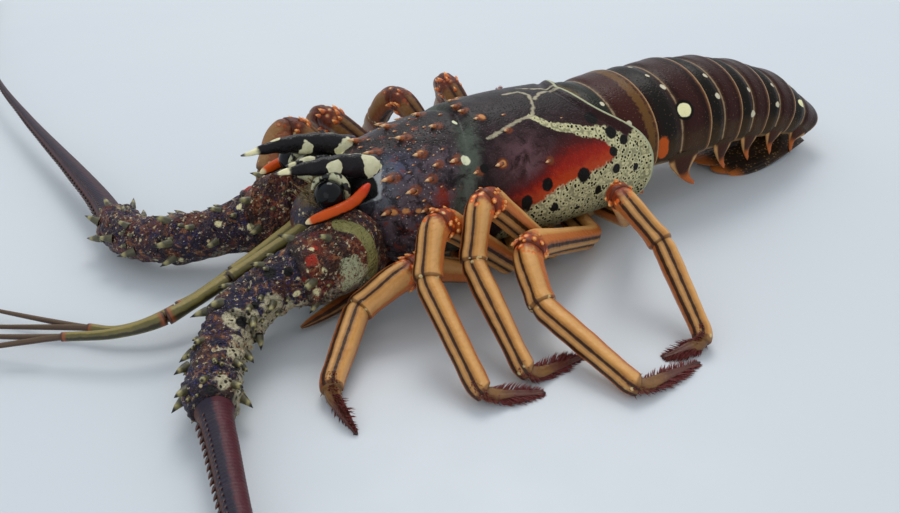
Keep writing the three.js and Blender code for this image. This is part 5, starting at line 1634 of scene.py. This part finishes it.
def foot_hairs(name, path, places, thick, seed, long=4.6, lean=0.7):
    """Stiff bristles along both edges of a foot, longest at its middle."""
    draw = np.random.default_rng(seed)
    s = draw.uniform(places[4] - 5, places[5] - 1, HAIRS_ON_FOOT)
    turn = np.where(draw.uniform(size=len(s)) < 0.5, -1, 1) * math.pi / 2 + draw.normal(0, 0.35, len(s))
    at, out, ahead = around_leg(path, places, thick, s, turn)
    share = (s - places[4]) / (places[5] - places[4])
    length = draw.uniform(0.5, 1.0, len(s)) * long * eased([[-0.4, 0.15], [0.1, 0.6], [0.4, 1], [0.8, 0.7], [1, 0.35]], share)
    return planted(name, BRISTLE, [
        (a - o * 0.3, o + h * lean, h, n, 0.24) for a, o, h, n in zip(at, out, ahead, length)])


def knee_thorns(name, path, places, thick, seed):
    """Blunt thorns on the upper edge of a leg where it meets the knee joint."""
    draw = np.random.default_rng(seed)
    s = places[2] - draw.uniform(0.6, 7.5, KNEE_THORNS)
    turn = draw.uniform(-math.pi, math.pi, KNEE_THORNS)
    at, out, ahead = around_leg(path, places, thick, s, turn)
    size = draw.uniform(0.9, 1.9, KNEE_THORNS)
    return planted(name, THORN, [
        (a - o * 0.4, o + h * 0.8, h, n * 1.7, n * 0.8) for a, o, h, n in zip(at, out, ahead, size)])


thorn_coat = spine_finish("leg_thorn_finish", "8a3412", "cf6a26", "eda55a", 0.1, 0.55)
for name, side in (("left", -1), ("right", 1)):
    for number, (hip, joints, thick) in enumerate(LEGS[side], 1):
        label = f"leg_{name}_{number}"
        path, places = leg_path(hip, side, joints)
        # The legs on the far side carry the painted shade.
        far = 1.0 if side > 0 else 0.0
        cuts = [0, places[2], places[2] - LEG_TUCK, places[3], places[3] - LEG_TUCK, places[4]]
        upper, carpus, shank = (
            leg_joint(f"{label}_{part}", path, places, thick, cuts[2 * k], cuts[2 * k + 1], near, far)
            for k, (part, near) in enumerate((("upper_shell", [(2, 0)]), ("carpus", [(2, 3)]), ("shank_shell", []))))
        hand_in(upper, leg_coat, "leg_shell", f"{label}_upper")
        hand_in(joined(f"{label}_shank_shell", shank, carpus), leg_coat, "leg_shell", f"{label}_shank")
        thorns = knee_thorns(f"{label}_thorns", path, places, thick, 40 + number)
        hand_in(thorns, thorn_coat, "leg_shell", f"{label}_upper")
        foot = leg_joint(f"{label}_foot", path, places, thick, places[4] - LEG_TUCK, places[5], [], far)
        keep_mark(foot, "share", (read_mark(foot, "reach") - places[4]) / (places[5] - places[4]))
        hand_in(foot, foot_coat, "leg_tip", f"{label}_dactyl")
        fur = foot_hairs(f"{label}_foot_hair", path, places, thick, number)
        hand_in(fur, hair_coat, "leg_tip", f"{label}_dactyl")

# %% [markdown]
# ## Mouth legs and underside
# The third pair of jaw legs lies beside the mouth, with a brush of hair inside. The breastplate
# under the chest is pale, flat where it lies on the floor, and grooved between the legs.

# %% Mouth legs
JAW_PATH = [[-129, 9, 4.5], [-144, 17, 4.8], [-158, 26, 5], [-176.5, 31.5, 4]]
JAW_HALF = [[0, 2.9], [25, 3], [45, 2.7], [62, 1]]
for name, side in (("left", -1), ("right", 1)):
    path = Path.through([[x, side * y, z] for x, y, z in JAW_PATH])
    size = lambda s, turn: eased(JAW_HALF, s * 62 / path.length)
    bend = lambda s, turn: -0.35 * hill(s % 21 - 10.5, 1.5)
    jaw = rolled(f"maxilliped_{name}_shell", 32, 110, tube(path, 0, path.length, size, size, bend, cap=0.03))
    s, degrees = mark_tube(jaw, 0, path.length, cap=0.03)
    face, away = line_distance_round(degrees, 2.5)
    keep_mark(jaw, "face", face)
    keep_mark(jaw, "line", away)
    keep_mark(jaw, "knee", 99 + 0 * s)
    # The jaw legs, low under the head, get half the painted shade.
    keep_mark(jaw, "far", 0.5 + 0 * s)
    keep_mark(jaw, "edge", 9 + 0 * s)
    hand_in(jaw, leg_coat, "leg_shell", f"maxilliped_{name}")

# %% Breastplate
STERNUM_HALF = [[-128, 6], [-100, 11], [-60, 14.5], [-26, 16.5]]
STERNUM_TOP = 8.7


def sternum_place(u, v):
    turn = (u * 2 - 1) * math.pi
    x = -128 + 102 * v
    sin, cos = np.sin(turn), np.cos(turn)
    shut = np.where((v < 0.004) | (v > 0.996), 0.0, 1.0)
    half = eased(STERNUM_HALF, x) * np.sign(sin) * np.abs(sin) ** 0.35
    seam = 0.25 * hill((x + 128) % 17 - 8.5, 1.0)
    tall = np.sign(cos) * np.abs(cos) ** 0.35 * (STERNUM_TOP / 2 - seam * (cos < 0))
    return np.stack([x, half * shut, STERNUM_TOP / 2 + tall * shut], -1)


def underside_finish():
    f = Finish("underside_finish", IOR=1.48)
    ragged = f.cloud(300.0, 4.0, 0.6) - 0.5
    colour = f.dye(
        f.blend(f.cloud(90.0, 4.0, 0.6), linear("b08a58"), linear("d9c08e")),
        (f.ramp(f.cloud(200.0, 5.0, 0.7), 0.55, 0.68) * 0.6, "7a3c22"),
        (f.ramp(f.cells(380.0) + ragged * 0.2, 0.22, 0.15) * 0.5, "efe2bd"),
    )
    return f.wear(colour, f.cloud(260.0) * 0.2 + 0.4, f.cloud(500.0, 4.0), 0.0005)


hand_in(rolled("sternum_plate", 80, 120, sternum_place), underside_finish(), "underside", "sternum")
